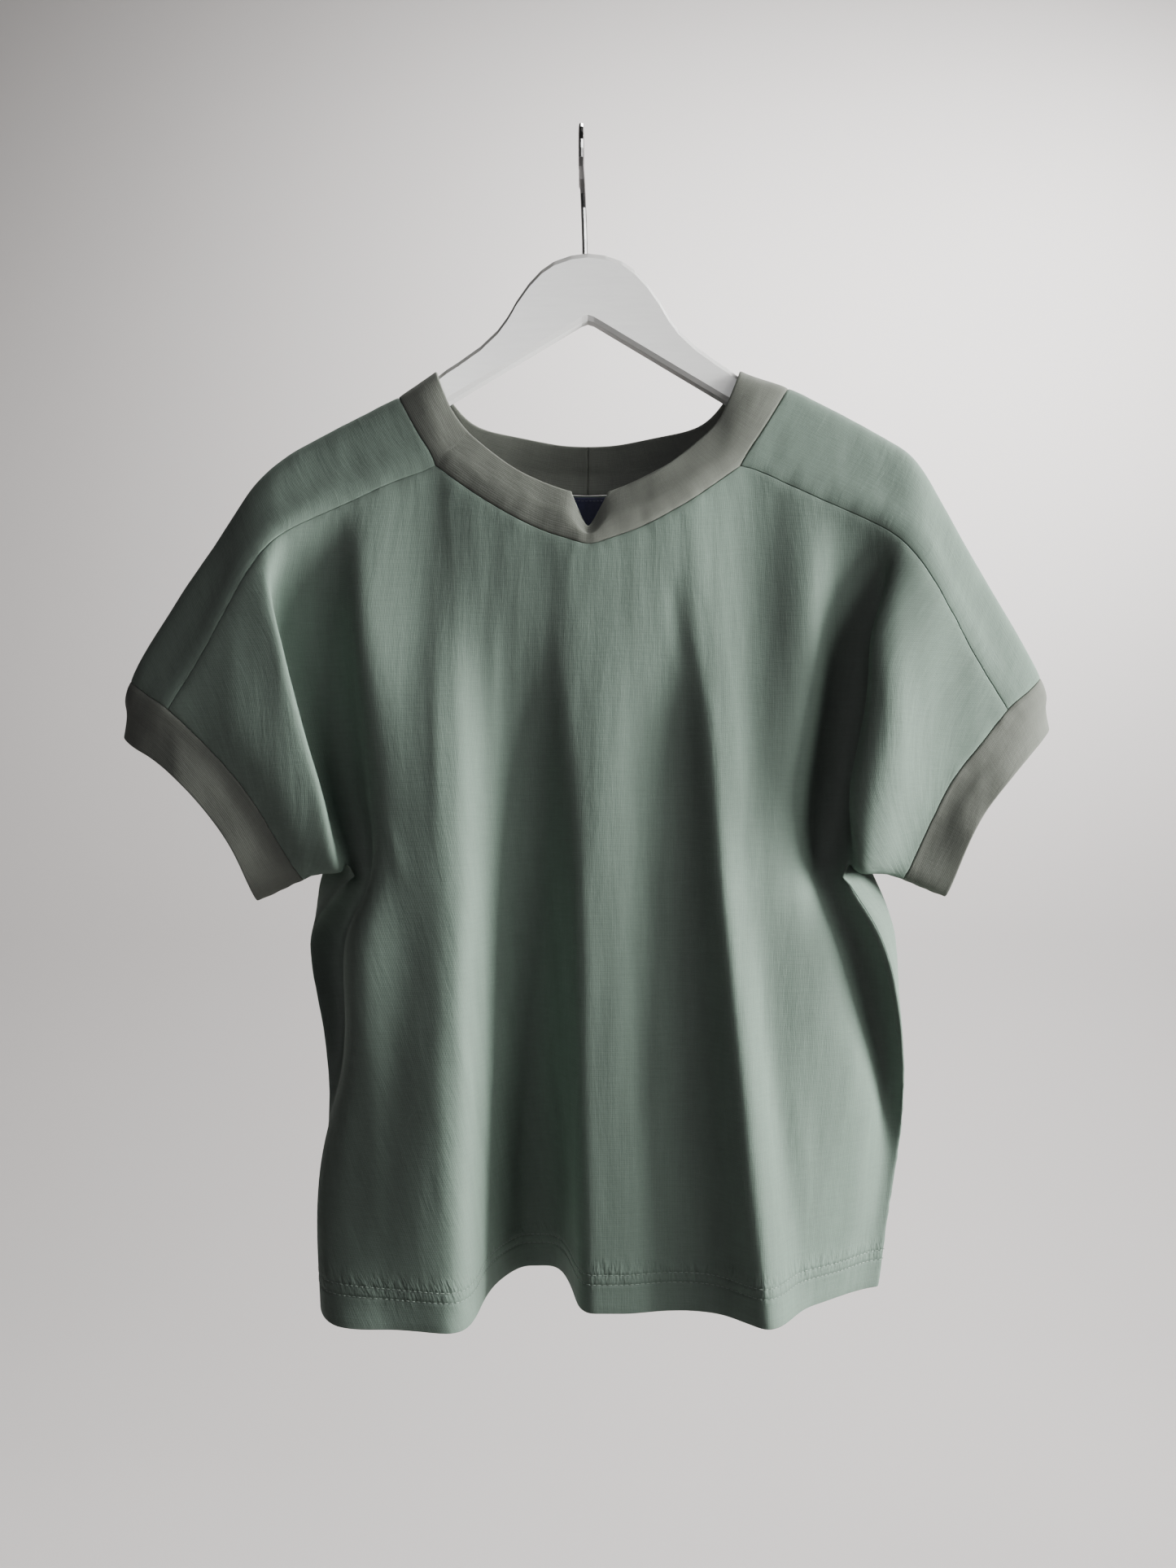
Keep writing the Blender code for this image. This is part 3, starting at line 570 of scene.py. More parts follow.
def add_cuff(cage, side, front, back, over):
    """The cuff, from the underarm up the front, over the sleeve and down the back."""
    down = rows(CUFF_DOWN[side])
    seam = list(front[side]["cuff"][::-1])
    edge = [cage.add(SIGN[side] * out, drop, depth) for out, drop, depth, _ in down[::-1]]
    for point, (out, drop, depth) in zip(over[side][CUFF][1:-1], rows(CUFF_OVER[side])):
        seam.append(point)
        edge.append(cage.add(SIGN[side] * out, drop, depth))
    for point, (out, drop, _, depth) in zip(back[side]["cuff"][:-1], down):
        seam.append(point)
        edge.append(cage.add(SIGN[side] * out, drop, depth))
    add_band(cage, "cuff_" + side, seam, edge, 0)


def shirt_cage():
    cage = Cage()
    front = panel_lines(cage, "front", None)
    back = panel_lines(cage, "back", front)
    add_panel(cage, "front", front)
    add_panel(cage, "back", back)
    over = {side: add_shoulder(cage, side, front, back) for side in SIDES}
    add_neckband(cage, front, back, over)
    for side in SIDES:
        add_cuff(cage, side, front, back, over)
    return cage


def cage_mesh(cage, points):
    """The cage as a mesh whose faces point outwards, each with its piece's number."""
    bm = bmesh.new()
    crease = bm.verts.layers.float.new("crease_vert")
    cut = bm.loops.layers.uv.new("cut")
    verts = [bm.verts.new(point) for point in points]
    for index in cage.sharp:
        verts[index][crease] = 1.0
    for face, tag, corners in zip(cage.faces, cage.tags, cage.corners):
        new = bm.faces.new([verts[i] for i in face])
        new.material_index = tag
        for loop, corner in zip(new.loops, corners):
            loop[cut].uv = Vector(corner) / CUT_UNIT
    bmesh.ops.recalc_face_normals(bm, faces=bm.faces)
    bm.normal_update()
    front_faces = [face for face in bm.faces if face.material_index == PANELS.index("front")]
    if sum(face.normal.y for face in front_faces) > 0:
        bmesh.ops.reverse_faces(bm, faces=bm.faces)
    bm.verts.index_update()
    ridge = bm.edges.layers.float.new("crease_edge")
    for edge in bm.edges:
        ends = frozenset(vert.index for vert in edge.verts)
        edge.seam = ends in cage.joins
        edge[ridge] = SIDE_SEAM_CREASE if ends in cage.ridges else 0.0
    mesh = bpy.data.meshes.new("cage")
    bm.to_mesh(mesh)
    bm.free()
    return mesh


def shown(name, data):
    """A new object in the scene, at the origin and unturned."""
    thing = bpy.data.objects.new(name, data)
    bpy.context.scene.collection.objects.link(thing)
    return thing


def made_plain(guide):
    """The mesh that an object's modifiers give; the object itself is removed."""
    graph = bpy.context.evaluated_depsgraph_get()
    mesh = bpy.data.meshes.new_from_object(guide.evaluated_get(graph))
    bpy.data.objects.remove(guide)
    return mesh


def grid_faces(columns, lines):
    """The faces of a grid of points that are numbered line by line."""
    starts = [j * columns + i for j in range(lines - 1) for i in range(columns - 1)]
    return [(a, a + 1, a + columns + 1, a + columns) for a in starts]


def smoothed(cage, points, level):
    """The smooth skin of the cage as a new mesh."""
    guide = shown("guide", cage_mesh(cage, points))
    smooth = guide.modifiers.new("Smooth", "SUBSURF")
    smooth.levels = smooth.render_levels = level
    return made_plain(guide)


def skin_through(cage, level):
    """The smooth skin that passes through every point of the cage."""
    wanted = [point.copy() for point in cage.points]
    points = [point.copy() for point in wanted]
    for _ in range(FITTING_ROUNDS):
        mesh = smoothed(cage, points, 1)
        for i, aim in enumerate(wanted):
            points[i] += aim - mesh.vertices[i].co
    return smoothed(cage, points, level)


# Small relief of the cloth: puckers by a seam, the dip along it and the soft ripples away from it
PUCKER_REACH = 9.0
PUCKER_LENGTH = 7.0
PUCKER_RISE = 0.55
DIP_REACH = 2.2
DIP_DEPTH = 0.35
SOFT_RIPPLE = 0.55
RIPPLE_LENGTHS = (19, 40, 95)
FINE_RIPPLE = 0.4
FINE_RIPPLE_LENGTHS = (9, 20, 60)
FINE_RIPPLE_START = 7
FLAT_BY_SEAM = 12
CREASE_ROUNDING = 0.7

# Hem: its turning, its two rows of stitches and the cloth doubled below them
HEM_ALLOWANCE = 23.3
HEM_ROWS = (17.06, 22.75)
HEM_LINE = HEM_ROWS[1] + 1
HEM_STEP = 6
HEM_LAYERS = 1.9
STEEPEST_SLIP = 0.2

# Edge of a cut piece, from its face round to its back: way in from the edge, share of thickness
EDGE_ROLL = table(
    "back share",
    (0.9, 0.0),
    (0.45, 0.07),
    (0.12, 0.26),
    (0.0, 0.5),
    (0.12, 0.74),
    (0.45, 0.93),
    (0.9, 1.0),
)

# Small creases in the front: ends, width and rise
CREASES = table(
    "x0 drop0 x1 drop1 width rise",
    (-121, 447, -113, 481, 3.5, 1.0),
    (-96, 330, -90, 470, 5, 0.8),
    (-60, 300, -57, 420, 5, 0.5),
    (-18, 318, -14, 470, 6, 0.8),
    (52, 292, 58, 350, 5, -0.9),
    (70, 300, 76, 372, 5, -0.9),
    (86, 340, 93, 450, 5, 0.7),
    (-78, 480, -73, 640, 5, 0.8),
    (22, 430, 18, 620, 7, 0.7),
    (44, 500, 46, 700, 6, 0.6),
    (112, 560, 120, 690, 6, -0.7),
    (129, 610, 134, 700, 4, 0.9),
    (-130, 560, -126, 690, 6, 0.8),
    (-150, 600, -146, 700, 5, 0.7),
)


def cut_out(cage, lines, middle, hung):
    """Where each point of some lines lies in the flat cut, in millimetres across and down."""
    places = [[cage.points[i] / MM for i in line] for line in lines]
    count = len(places[0])
    if hung:
        down = [[HEM_DROP + place.z for place in line] for line in places]
    else:
        key = places[len(places) // 2]
        steps = [0.0] + [(b - a).length for a, b in zip(key, key[1:])]
        down = [list(np.cumsum(steps))] * len(places)
    across = []
    for i in range(count):
        steps = [0.0] + [(b[i] - a[i]).length for a, b in zip(places, places[1:])]
        run = np.cumsum(steps)
        across.append(run - run[middle])
    return [[(across[i][j], down[j][i]) for i in range(count)] for j in range(len(lines))]


# Studio and camera: the photograph's own height and focal length in its pixels
PHOTO_HEIGHT = 1927
FOCAL_PIXELS = 1450
CAMERA_PLACE = (0.0043, -0.763, -0.4215)
FLOOR = -1.75
SWEEP_NEAR = -3.2
SWEEP_START = 1.6
SWEEP_BEND = 0.9
SWEEP_STEPS = 12
SWEEP_TOP = 2.6
SWEEP_HALF = 4.5
SWEEP_COLOUR = (0.62, 0.6, 0.595)
AIR_COLOUR = (1.0, 0.96, 0.9, 1)
SENSOR = 36.0

# Lights round the shirt's middle: turn from the camera, lift, size and the setting of their power
ROUND_LIGHTS = {
    "key": (math.radians(80), math.radians(7), 1.0, "key_power"),
    "second": (math.radians(55), math.radians(20), 1.2, "second_power"),
}
LIGHTS_AWAY = 2.4
MIDDLE_HEIGHT = -0.42
ROUND_COLOUR = (1.0, 0.99, 0.97)
BEAM = math.radians(60)

# Lights with places of their own: place, aim, width, height, power, colour and spread
GLOW = ((-0.5, -2.4, 0.4), (0, 0, -0.05), 1.6, 1.6, 22.0, (1.0, 1.0, 1.0), BEAM)
WASH = ((1.0, 0.9, 1.2), (0.6, 2.3, -0.5), 2.4, 1.2, 190.0, (1.0, 0.985, 0.97), math.pi)


def seam_points(skin):
    """Points along every seam of the skin, between two pieces or within one."""
    tags = {}
    for face in skin.polygons:
        for key in face.edge_keys:
            tags.setdefault(key, []).append(face.material_index)
    sewn = set()
    for key, found in tags.items():
        if len(found) > 1 and found[0] != found[1]:
            sewn.update(key)
    for edge in skin.edges:
        if edge.use_seam:
            sewn.update(edge.key)
    return sewn


def tree_of(skin, chosen):
    tree = KDTree(len(chosen))
    for i in chosen:
        tree.insert(skin.vertices[i].co, i)
    tree.balance()
    return tree


def crease_height(x, drop, row):
    """How far one crease lifts the cloth at a place."""
    x0, drop0, x1, drop1, width, rise = row
    along = Vector((x1 - x0, drop1 - drop0))
    spot = Vector((x - x0, drop - drop0))
    share = spot.dot(along) / along.length_squared
    if not 0 < share < 1:
        return 0.0
    off = (spot - along * share).length
    return rise * math.exp(-((off / width) ** 2)) * math.sin(math.pi * share) ** CREASE_ROUNDING


def settled(skin):
    """Puckers by the seams, creases and soft ripples, moved along the cloth's own face."""
    tree = tree_of(skin, seam_points(skin))
    creases = rows(CREASES)
    front_faces = [face for face in skin.polygons if face.material_index == PANELS.index("front")]
    front = {i for face in front_faces for i in face.vertices}
    moves = []
    for i, vert in enumerate(skin.vertices):
        spot = vert.co / MM
        x, drop = spot.x - CENTRE_LEFT_OF_HOOK, -spot.z
        seam, _, away = tree.find(vert.co)
        away /= MM
        tucked = noise.noise(seam / MM / PUCKER_LENGTH) * math.exp(-away / PUCKER_REACH)
        place_in_ripple = [part / length for part, length in zip(spot, RIPPLE_LENGTHS)]
        place_in_fine = [part / length for part, length in zip(spot, FINE_RIPPLE_LENGTHS)]
        place_in_fine[2] += FINE_RIPPLE_START
        ripple = noise.noise(Vector(place_in_ripple))
        ripple += FINE_RIPPLE * noise.noise(Vector(place_in_fine))
        rise = PUCKER_RISE * tucked + SOFT_RIPPLE * ripple * min(1, away / FLAT_BY_SEAM)
        rise -= DIP_DEPTH * math.exp(-away / DIP_REACH)
        if i in front:
            rise += sum(crease_height(x, drop, row) for row in creases)
        moves.append(vert.normal * rise * MM)
    for vert, move in zip(skin.vertices, moves):
        vert.co += move


def inward(loop):
    """The direction in the face, square to one of its edges and away from it."""
    edge = (loop.link_loop_next.vert.co - loop.vert.co).normalized()
    return loop.face.normal.cross(edge)


def room_inside(skin, normals):
    """For each point of the skin, the way from half a jersey wall inside it to the skin opposite."""
    tree = BVHTree.FromPolygons([v.co for v in skin.vertices], [p.vertices for p in skin.polygons])
    room = []
    for vert, normal in zip(skin.vertices, normals):
        start = vert.co - normal * JERSEY * MM / 2
        distance = tree.ray_cast(start, -normal, LONGEST_LOOK * MM)[3]
        room.append(LONGEST_LOOK if distance is None else distance / MM)
    return room


def shell(name, skin, tag, thickness, room, hem):
    """One cut piece with a rounded edge all round, its inner side and its turned-up hem."""
    bm = bmesh.new()
    cut = bm.loops.layers.uv.new("cut")
    free = bm.verts.layers.float.new("free")
    outwards = bm.verts.layers.float_vector.new("outwards")
    flat = skin.uv_layers["cut"].data
    made = {}
    for face in skin.polygons:
        if face.material_index != tag:
            continue
        for i in face.vertices:
            if i not in made:
                made[i] = bm.verts.new(skin.vertices[i].co)
                made[i][free] = room[i]
                made[i][outwards] = skin.vertices[i].normal
        new = bm.faces.new([made[i] for i in face.vertices])
        for loop, k in zip(new.loops, face.loop_indices):
            loop[cut].uv = flat[k].uv
    joins = [edge.key for edge in skin.edges if edge.use_seam]
    split = [bm.edges.get((made[a], made[b])) for a, b in joins if a in made and b in made]
    bmesh.ops.split_edges(bm, edges=[edge for edge in split if edge])
    bm.normal_update()
    bm.verts.index_update()
    drawn = {}
    for edge in bm.edges:
        if edge.is_boundary:
            for vert in edge.verts:
                drawn.setdefault(vert, []).append(inward(edge.link_loops[0]))
    points, flats = [], []
    outer, inner, rims = {}, {}, {}

    def keep(place, uv):
        points.append(place)
        flats.append(uv)
        return len(points) - 1

    for vert in bm.verts:
        uv = vert.link_loops[0][cut].uv.copy()
        normal = Vector(vert[outwards]).normalized()
        high = HEM_DROP + vert.co.z / MM
        doubled = hem and high < HEM_LINE
        deep = thickness * (HEM_LAYERS if doubled else 1)
        deep = min(deep, vert[free] * PINCHED_SHARE) * MM
        if vert in drawn:
            first, second = drawn[vert]
            way = (first + second) / (1 + first.dot(second)) * MM
            ring = []
            for back, share in rows(EDGE_ROLL):
                ring.append(keep(vert.co + way * back - normal * deep * share, uv))
            rims[vert] = ring
            outer[vert], inner[vert] = ring[0], ring[-1]
        else:
            outer[vert] = keep(vert.co, uv)
            down = Vector((0, 0, -1)) + normal * normal.z
            slip = Vector()
            if hem and HEM_LINE < high < HEM_LINE + HEM_STEP:
                slip = down / max(-down.z, STEEPEST_SLIP) * (high - HEM_ALLOWANCE) * MM
            inner[vert] = keep(vert.co - normal * deep + slip, uv)
    faces = []
    for face in bm.faces:
        faces.append([outer[vert] for vert in face.verts])
        faces.append([inner[vert] for vert in reversed(face.verts)])
    for edge in bm.edges:
        if edge.is_boundary:
            loop = edge.link_loops[0]
            here, there = rims[loop.vert], rims[loop.link_loop_next.vert]
            for k in range(len(here) - 1):
                faces.append([there[k], here[k], here[k + 1], there[k + 1]])
    bm.free()
    return cloth_mesh(name, points, faces, flats)


def cloth_mesh(name, points, faces, flats):
    """A smooth mesh with its flat cut as a UV map, in tenths of a metre."""
    mesh = bpy.data.meshes.new(name)
    mesh.from_pydata([tuple(point) for point in points], [], faces)
    layer = mesh.uv_layers.new(name="cut")
    for loop in mesh.loops:
        layer.data[loop.index].uv = flats[loop.vertex_index]
    mesh.shade_smooth()
    return mesh


def stood(name, mesh, paint):
    """A finished piece in the scene that rides on the part's one body."""
    mesh.materials.clear()
    mesh.materials.append(paint)
    piece = shown(name, mesh)
    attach(piece, "root")
    return piece


class Drape:
    """The skin of the whole shirt, made once and shared by the operators."""

    skin = None
    room = None

    @classmethod
    def lay(cls, level):
        cage = shirt_cage()
        cls.skin = skin_through(cage, level)
        settled(cls.skin)
        cls.room = room_inside(cls.skin, [vert.normal.copy() for vert in cls.skin.vertices])


def link(tree, socket, value):
    """Joins a socket to another one, or gives it a value."""
    if isinstance(value, bpy.types.NodeSocket):
        tree.links.new(value, socket)
    else:
        socket.default_value = value


def maths(tree, operation, *values):
    node = tree.nodes.new("ShaderNodeMath")
    node.operation = operation
    for socket, value in zip(node.inputs, values):
        link(tree, socket, value)
    return node.outputs["Value"]


def noise_of(tree, place, scale, detail, roughness):
    node = tree.nodes.new("ShaderNodeTexNoise")
    for name, value in (("Scale", scale), ("Detail", detail), ("Roughness", roughness), ("Vector", place)):
        link(tree, node.inputs[name], value)
    return node.outputs["Fac"]


def stretched(tree, place, scale):
    node = tree.nodes.new("ShaderNodeMapping")
    link(tree, node.inputs["Scale"], scale)
    link(tree, node.inputs["Vector"], place)
    return node.outputs["Vector"]


def blend(tree, *parts):
    """The sum of some values, each times its weight."""
    total = None
    for value, weight in parts:
        share = value if weight == 1 else maths(tree, "MULTIPLY", value, weight)
        total = share if total is None else maths(tree, "ADD", total, share)
    return total


def bell(tree, value, centre, reach):
    """One at the centre, and falling off smoothly on both sides of it."""
    off = maths(tree, "DIVIDE", maths(tree, "SUBTRACT", value, centre), reach)
    return maths(tree, "EXPONENT", maths(tree, "MULTIPLY", maths(tree, "MULTIPLY", off, off), -1.0))


def shade(colour, amount):
    return tuple(min(1.0, part * amount) for part in colour)


def toned(tree, factor, colour, dark, light, start, end):
    """The colour from its darker to its lighter shade, as the factor runs from start to end."""
    node = tree.nodes.new("ShaderNodeValToRGB")
    for stop, amount, place in zip(node.color_ramp.elements, (dark, light), (start, end)):
        stop.position = place
        stop.color = (*shade(colour, amount), 1)
    link(tree, node.inputs["Fac"], factor)
    return node.outputs["Color"]


def bump(tree, height, rise, strength, under=None):
    """Small relief whose height is given in millimetres, on top of another where there is one."""
    node = tree.nodes.new("ShaderNodeBump")
    link(tree, node.inputs["Distance"], rise * MM)
    link(tree, node.inputs["Strength"], strength)
    link(tree, node.inputs["Height"], height)
    if under is not None:
        link(tree, node.inputs["Normal"], under)
    return node.outputs["Normal"]


def fresh(name):
    """A new finish with its tree and each piece's own coordinates."""
    paint = bpy.data.materials.new(name)
    paint.use_nodes = True
    return paint, paint.node_tree, paint.node_tree.nodes.new("ShaderNodeTexCoord").outputs["Object"]


def finished(paint, values):
    """The finish with its shader's inputs set, each to a plain value or to another node's output."""
    shader = paint.node_tree.nodes["Principled BSDF"]
    for name, value in values.items():
        link(paint.node_tree, shader.inputs[name], value)
    return paint


def flat_cut(tree):
    """The place in the flat cut, and how far that is across and down in millimetres."""
    cut = tree.nodes.new("ShaderNodeUVMap")
    cut.uv_map = "cut"
    flat = tree.nodes.new("ShaderNodeSeparateXYZ")
    tree.links.new(cut.outputs["UV"], flat.inputs["Vector"])
    across, down = (maths(tree, "MULTIPLY", flat.outputs[axis], CUT_UNIT) for axis in "XY")
    return cut.outputs["UV"], across, down


# Noises of the knit: stretch over the flat cut, then scale, detail and roughness
CUT_NOISES = {
    "drift": ((1.0, 0.16, 1.0), 7.0, 4.0, 0.6),
    "bars": ((0.12, 1.0, 1.0), 55.0, 2.0, 0.6),
    "crush": ((1.0, 0.22, 1.0), 24.0, 3.0, 0.62),
    "gather": ((1.0, 0.35, 1.0), 26.0, 2.0, 0.6),
}
FUZZ = (900.0, 3.0, 0.7)
CLOUD = (16.0, 3.0, 0.55)

# Relief of the knit's layers: height in millimetres and strength
LOOP_RELIEF = (0.22, 0.2)
SOFT_RELIEF = (1.6, 0.4)
HEM_RELIEF = (0.6, 0.8)
SEWING_REACH = 1.1
GATHER_REACH = 7.0
GATHER_RISE = 3.5

# Columns of loops in the rib, and rows of loops in the jersey and the rib
RIB_WALE = 1.1
JERSEY_COURSE = 0.8
RIB_COURSE = 0.9

# Yarns of the label's weave, each with the next gap
WEFT = 0.42
WARP = 0.3


def knit(name, colour, wale, course, hem=False):
    """Knitted cloth: rows of small loops, a soft mottle, fuzz and the pull of the hem's sewing."""
    paint, tree, own = fresh(name)
    cut, across, down = flat_cut(tree)

    def over_cut(layer):
        stretch, scale, detail, roughness = CUT_NOISES[layer]
        return noise_of(tree, stretched(tree, cut, stretch), scale, detail, roughness)

    turns = maths(tree, "MULTIPLY", across, 1 / wale)
    ridge = maths(tree, "ABSOLUTE", maths(tree, "SINE", maths(tree, "MULTIPLY", turns, math.pi)))
    courses = blend(tree, (down, 1 / course), (maths(tree, "PINGPONG", turns, 0.5), 1))
    loops = maths(tree, "SINE", maths(tree, "MULTIPLY", courses, math.tau))
    fuzz = noise_of(tree, own, *FUZZ)
    cloud = noise_of(tree, own, *CLOUD)
    drift, bars, crush = (over_cut(layer) for layer in ("drift", "bars", "crush"))
    normal = bump(tree, blend(tree, (ridge, 1), (loops, 0.35), (fuzz, 1.2)), *LOOP_RELIEF)
    soft = blend(tree, (drift, 0.7), (cloud, 1), (crush, 0.35), (bars, 0.12))
    normal = bump(tree, soft, *SOFT_RELIEF, normal)
    if hem:
        pull = blend(tree, *((bell(tree, down, line, SEWING_REACH), 1) for line in HEM_ROWS))
        near = bell(tree, down, HEM_LINE, GATHER_REACH)
        gather = maths(tree, "MULTIPLY", over_cut("gather"), near)
        normal = bump(tree, blend(tree, (gather, GATHER_RISE), (pull, -1.0)), *HEM_RELIEF, normal)
    speck = blend(tree, (bars, 0.18), (drift, 0.42), (fuzz, 0.2))
    values = {
        "Base Color": toned(tree, speck, colour, 0.8, 1.2, 0.3, 0.7),
        "Roughness": blend(tree, (fuzz, 0.12), (0.8, 1)),
        "Normal": normal,
        "Sheen Weight": 0.03,
        "Sheen Roughness": 0.45,
        "Sheen Tint": (*shade(colour, 2.6), 1),
        "Specular IOR Level": 0.25,
    }
    return finished(paint, values)


def thread_paint(name, colour):
    paint, tree, own = fresh(name)
    twist = noise_of(tree, own, 2600.0, 2.0, 0.5)
    values = {
        "Base Color": toned(tree, twist, colour, 0.75, 1.2, 0.35, 0.65),
        "Normal": bump(tree, twist, 0.1, 0.5),
        "Roughness": 0.55,
        "Sheen Weight": 0.2,
    }
    return finished(paint, values)


def label_paint(name, colour):
    """Woven tape: fine crossing yarns with a satin gleam."""
    paint, tree, own = fresh(name)
    _, across, down = flat_cut(tree)
    weft = maths(tree, "SINE", maths(tree, "MULTIPLY", down, math.tau / WEFT))
    warp = maths(tree, "SINE", maths(tree, "MULTIPLY", across, math.tau / WARP))
    wear = noise_of(tree, own, 120.0, 3.0, 0.6)
    values = {
        "Base Color": toned(tree, wear, colour, 0.8, 1.35, 0.3, 0.75),
        "Normal": bump(tree, blend(tree, (weft, 1), (warp, 0.4)), 0.12, 0.6),
        "Roughness": 0.5,
        "Sheen Weight": 0.04,
        "Sheen Tint": (0.35, 0.35, 0.6, 1),
        "Specular IOR Level": 0.12,
    }
    return finished(paint, values)


def wood_paint(name, colour):
    """White satin paint with a faint grain under it."""
    paint, tree, own = fresh(name)
    grain = noise_of(tree, stretched(tree, own, (1.0, 6.0, 12.0)), 45.0, 4.0, 0.6)
    peel = noise_of(tree, own, 520.0, 2.0, 0.5)
    cloud = noise_of(tree, own, 14.0, 3.0, 0.5)
    values = {
        "Base Color": toned(tree, blend(tree, (grain, 0.5), (cloud, 0.5)), colour, 0.94, 1.03, 0.35, 0.65),
        "Normal": bump(tree, blend(tree, (grain, 0.5), (peel, 0.35)), 0.25, 0.35),
        "Roughness": blend(tree, (cloud, 0.16), (0.3, 1)),
        "Coat Weight": 0.25,
        "Coat Roughness": 0.3,
    }
    return finished(paint, values)


def chrome(name, colour):
    """Chromed wire with fine marks drawn along it."""
    paint, tree, own = fresh(name)
    marks = noise_of(tree, stretched(tree, own, (30.0, 30.0, 2.0)), 90.0, 3.0, 0.6)
    cloud = noise_of(tree, own, 60.0, 2.0, 0.5)
    values = {
        "Base Color": toned(tree, cloud, colour, 0.88, 1.05, 0.3, 0.7),
        "Normal": bump(tree, marks, 0.05, 0.25),
        "Roughness": blend(tree, (marks, 0.12), (0.08, 1)),
        "Metallic": 1.0,
    }
    return finished(paint, values)


def stitch_tree():
    """Geometry Nodes that lay stitches of one length along every line of a mesh of edges."""
    tree = bpy.data.node_groups.new("Row of stitches", "GeometryNodeTree")
    face = tree.interface
    face.new_socket("Seam lines", in_out="INPUT", socket_type="NodeSocketGeometry")
    for name, value in (("Stitch pitch", 0.0034), ("Stitch length", 0.0029), ("Thread", 0.00042)):
        socket = face.new_socket(name, in_out="INPUT", socket_type="NodeSocketFloat")
        socket.default_value = value
        socket.subtype = "DISTANCE"
    face.new_socket("Unevenness", in_out="INPUT", socket_type="NodeSocketFloat").default_value = 0.12
    face.new_socket("Seed", in_out="INPUT", socket_type="NodeSocketInt").default_value = 7
    face.new_socket("Thread finish", in_out="INPUT", socket_type="NodeSocketMaterial")
    face.new_socket("Stitches", in_out="OUTPUT", socket_type="NodeSocketGeometry")
    given = tree.nodes.new("NodeGroupInput").outputs

    def add(kind, output, inputs, **modes):
        """A node with its modes set and its inputs joined or given; returns one of its outputs."""
        node = tree.nodes.new(kind)
        for name, mode in modes.items():
            setattr(node, name, mode)
        for name, value in inputs.items():
            link(tree, node.inputs[name], value)
        return node.outputs[output]

    line = add("GeometryNodeMeshToCurve", "Curve", {"Mesh": given["Seam lines"]})
    paces = {"Curve": line, "Length": given["Stitch pitch"]}
    steps = add("GeometryNodeResampleCurve", "Curve", paces, mode="LENGTH")
    bead = add("GeometryNodeMeshUVSphere", "Mesh", {"Segments": 6, "Rings": 5, "Radius": 0.5})
    along = add("GeometryNodeInputTangent", "Tangent", {})
    turn = add("FunctionNodeAlignRotationToVector", "Rotation", {"Vector": along}, axis="X")
    least = maths(tree, "SUBTRACT", 1.0, given["Unevenness"])
    draws = {2: least, 3: 1.0, "Seed": given["Seed"]}
    share = add("FunctionNodeRandomValue", 1, draws, data_type="FLOAT")
    length = maths(tree, "MULTIPLY", given["Stitch length"], share)
    thread = given["Thread"]
    size = add("ShaderNodeCombineXYZ", "Vector", {"X": length, "Y": thread, "Z": thread})
    stitches = {"Points": steps, "Instance": bead, "Rotation": turn, "Scale": size}
    laid = add("GeometryNodeInstanceOnPoints", "Instances", stitches)
    real = add("GeometryNodeRealizeInstances", "Geometry", {"Geometry": laid})
    smooth = add("GeometryNodeSetShadeSmooth", "Geometry", {"Geometry": real})
    dressed = {"Geometry": smooth, "Material": given["Thread finish"]}
    sewn = add("GeometryNodeSetMaterial", "Geometry", dressed)
    tree.links.new(sewn, tree.nodes.new("NodeGroupOutput").inputs["Stitches"])
    return tree


def sew(name, lines, paint, pitch, length, thread):
    """Rows of stitches along lines of points, made plain mesh."""
    points, edges = [], []
    for line in lines:
        start = len(points)
        points += [tuple(point) for point in line]
        edges += [(start + i, start + i + 1) for i in range(len(line) - 1)]
    guide = bpy.data.meshes.new(name + "_line")
    guide.from_pydata(points, edges, [])
    holder = shown(name + "_line", guide)
    tree = bpy.data.node_groups.get("Row of stitches") or stitch_tree()
    sewing = holder.modifiers.new("Stitches", "NODES")
    sewing.node_group = tree
    values = {"Stitch pitch": pitch, "Stitch length": length, "Thread": thread, "Thread finish": paint}
    for item in tree.interface.items_tree:
        if item.in_out == "INPUT" and item.name in values:
            sewing[item.identifier] = values[item.name]
    mesh = made_plain(holder)
    mesh.name = name
    piece = stood(name, mesh, paint)
    return piece


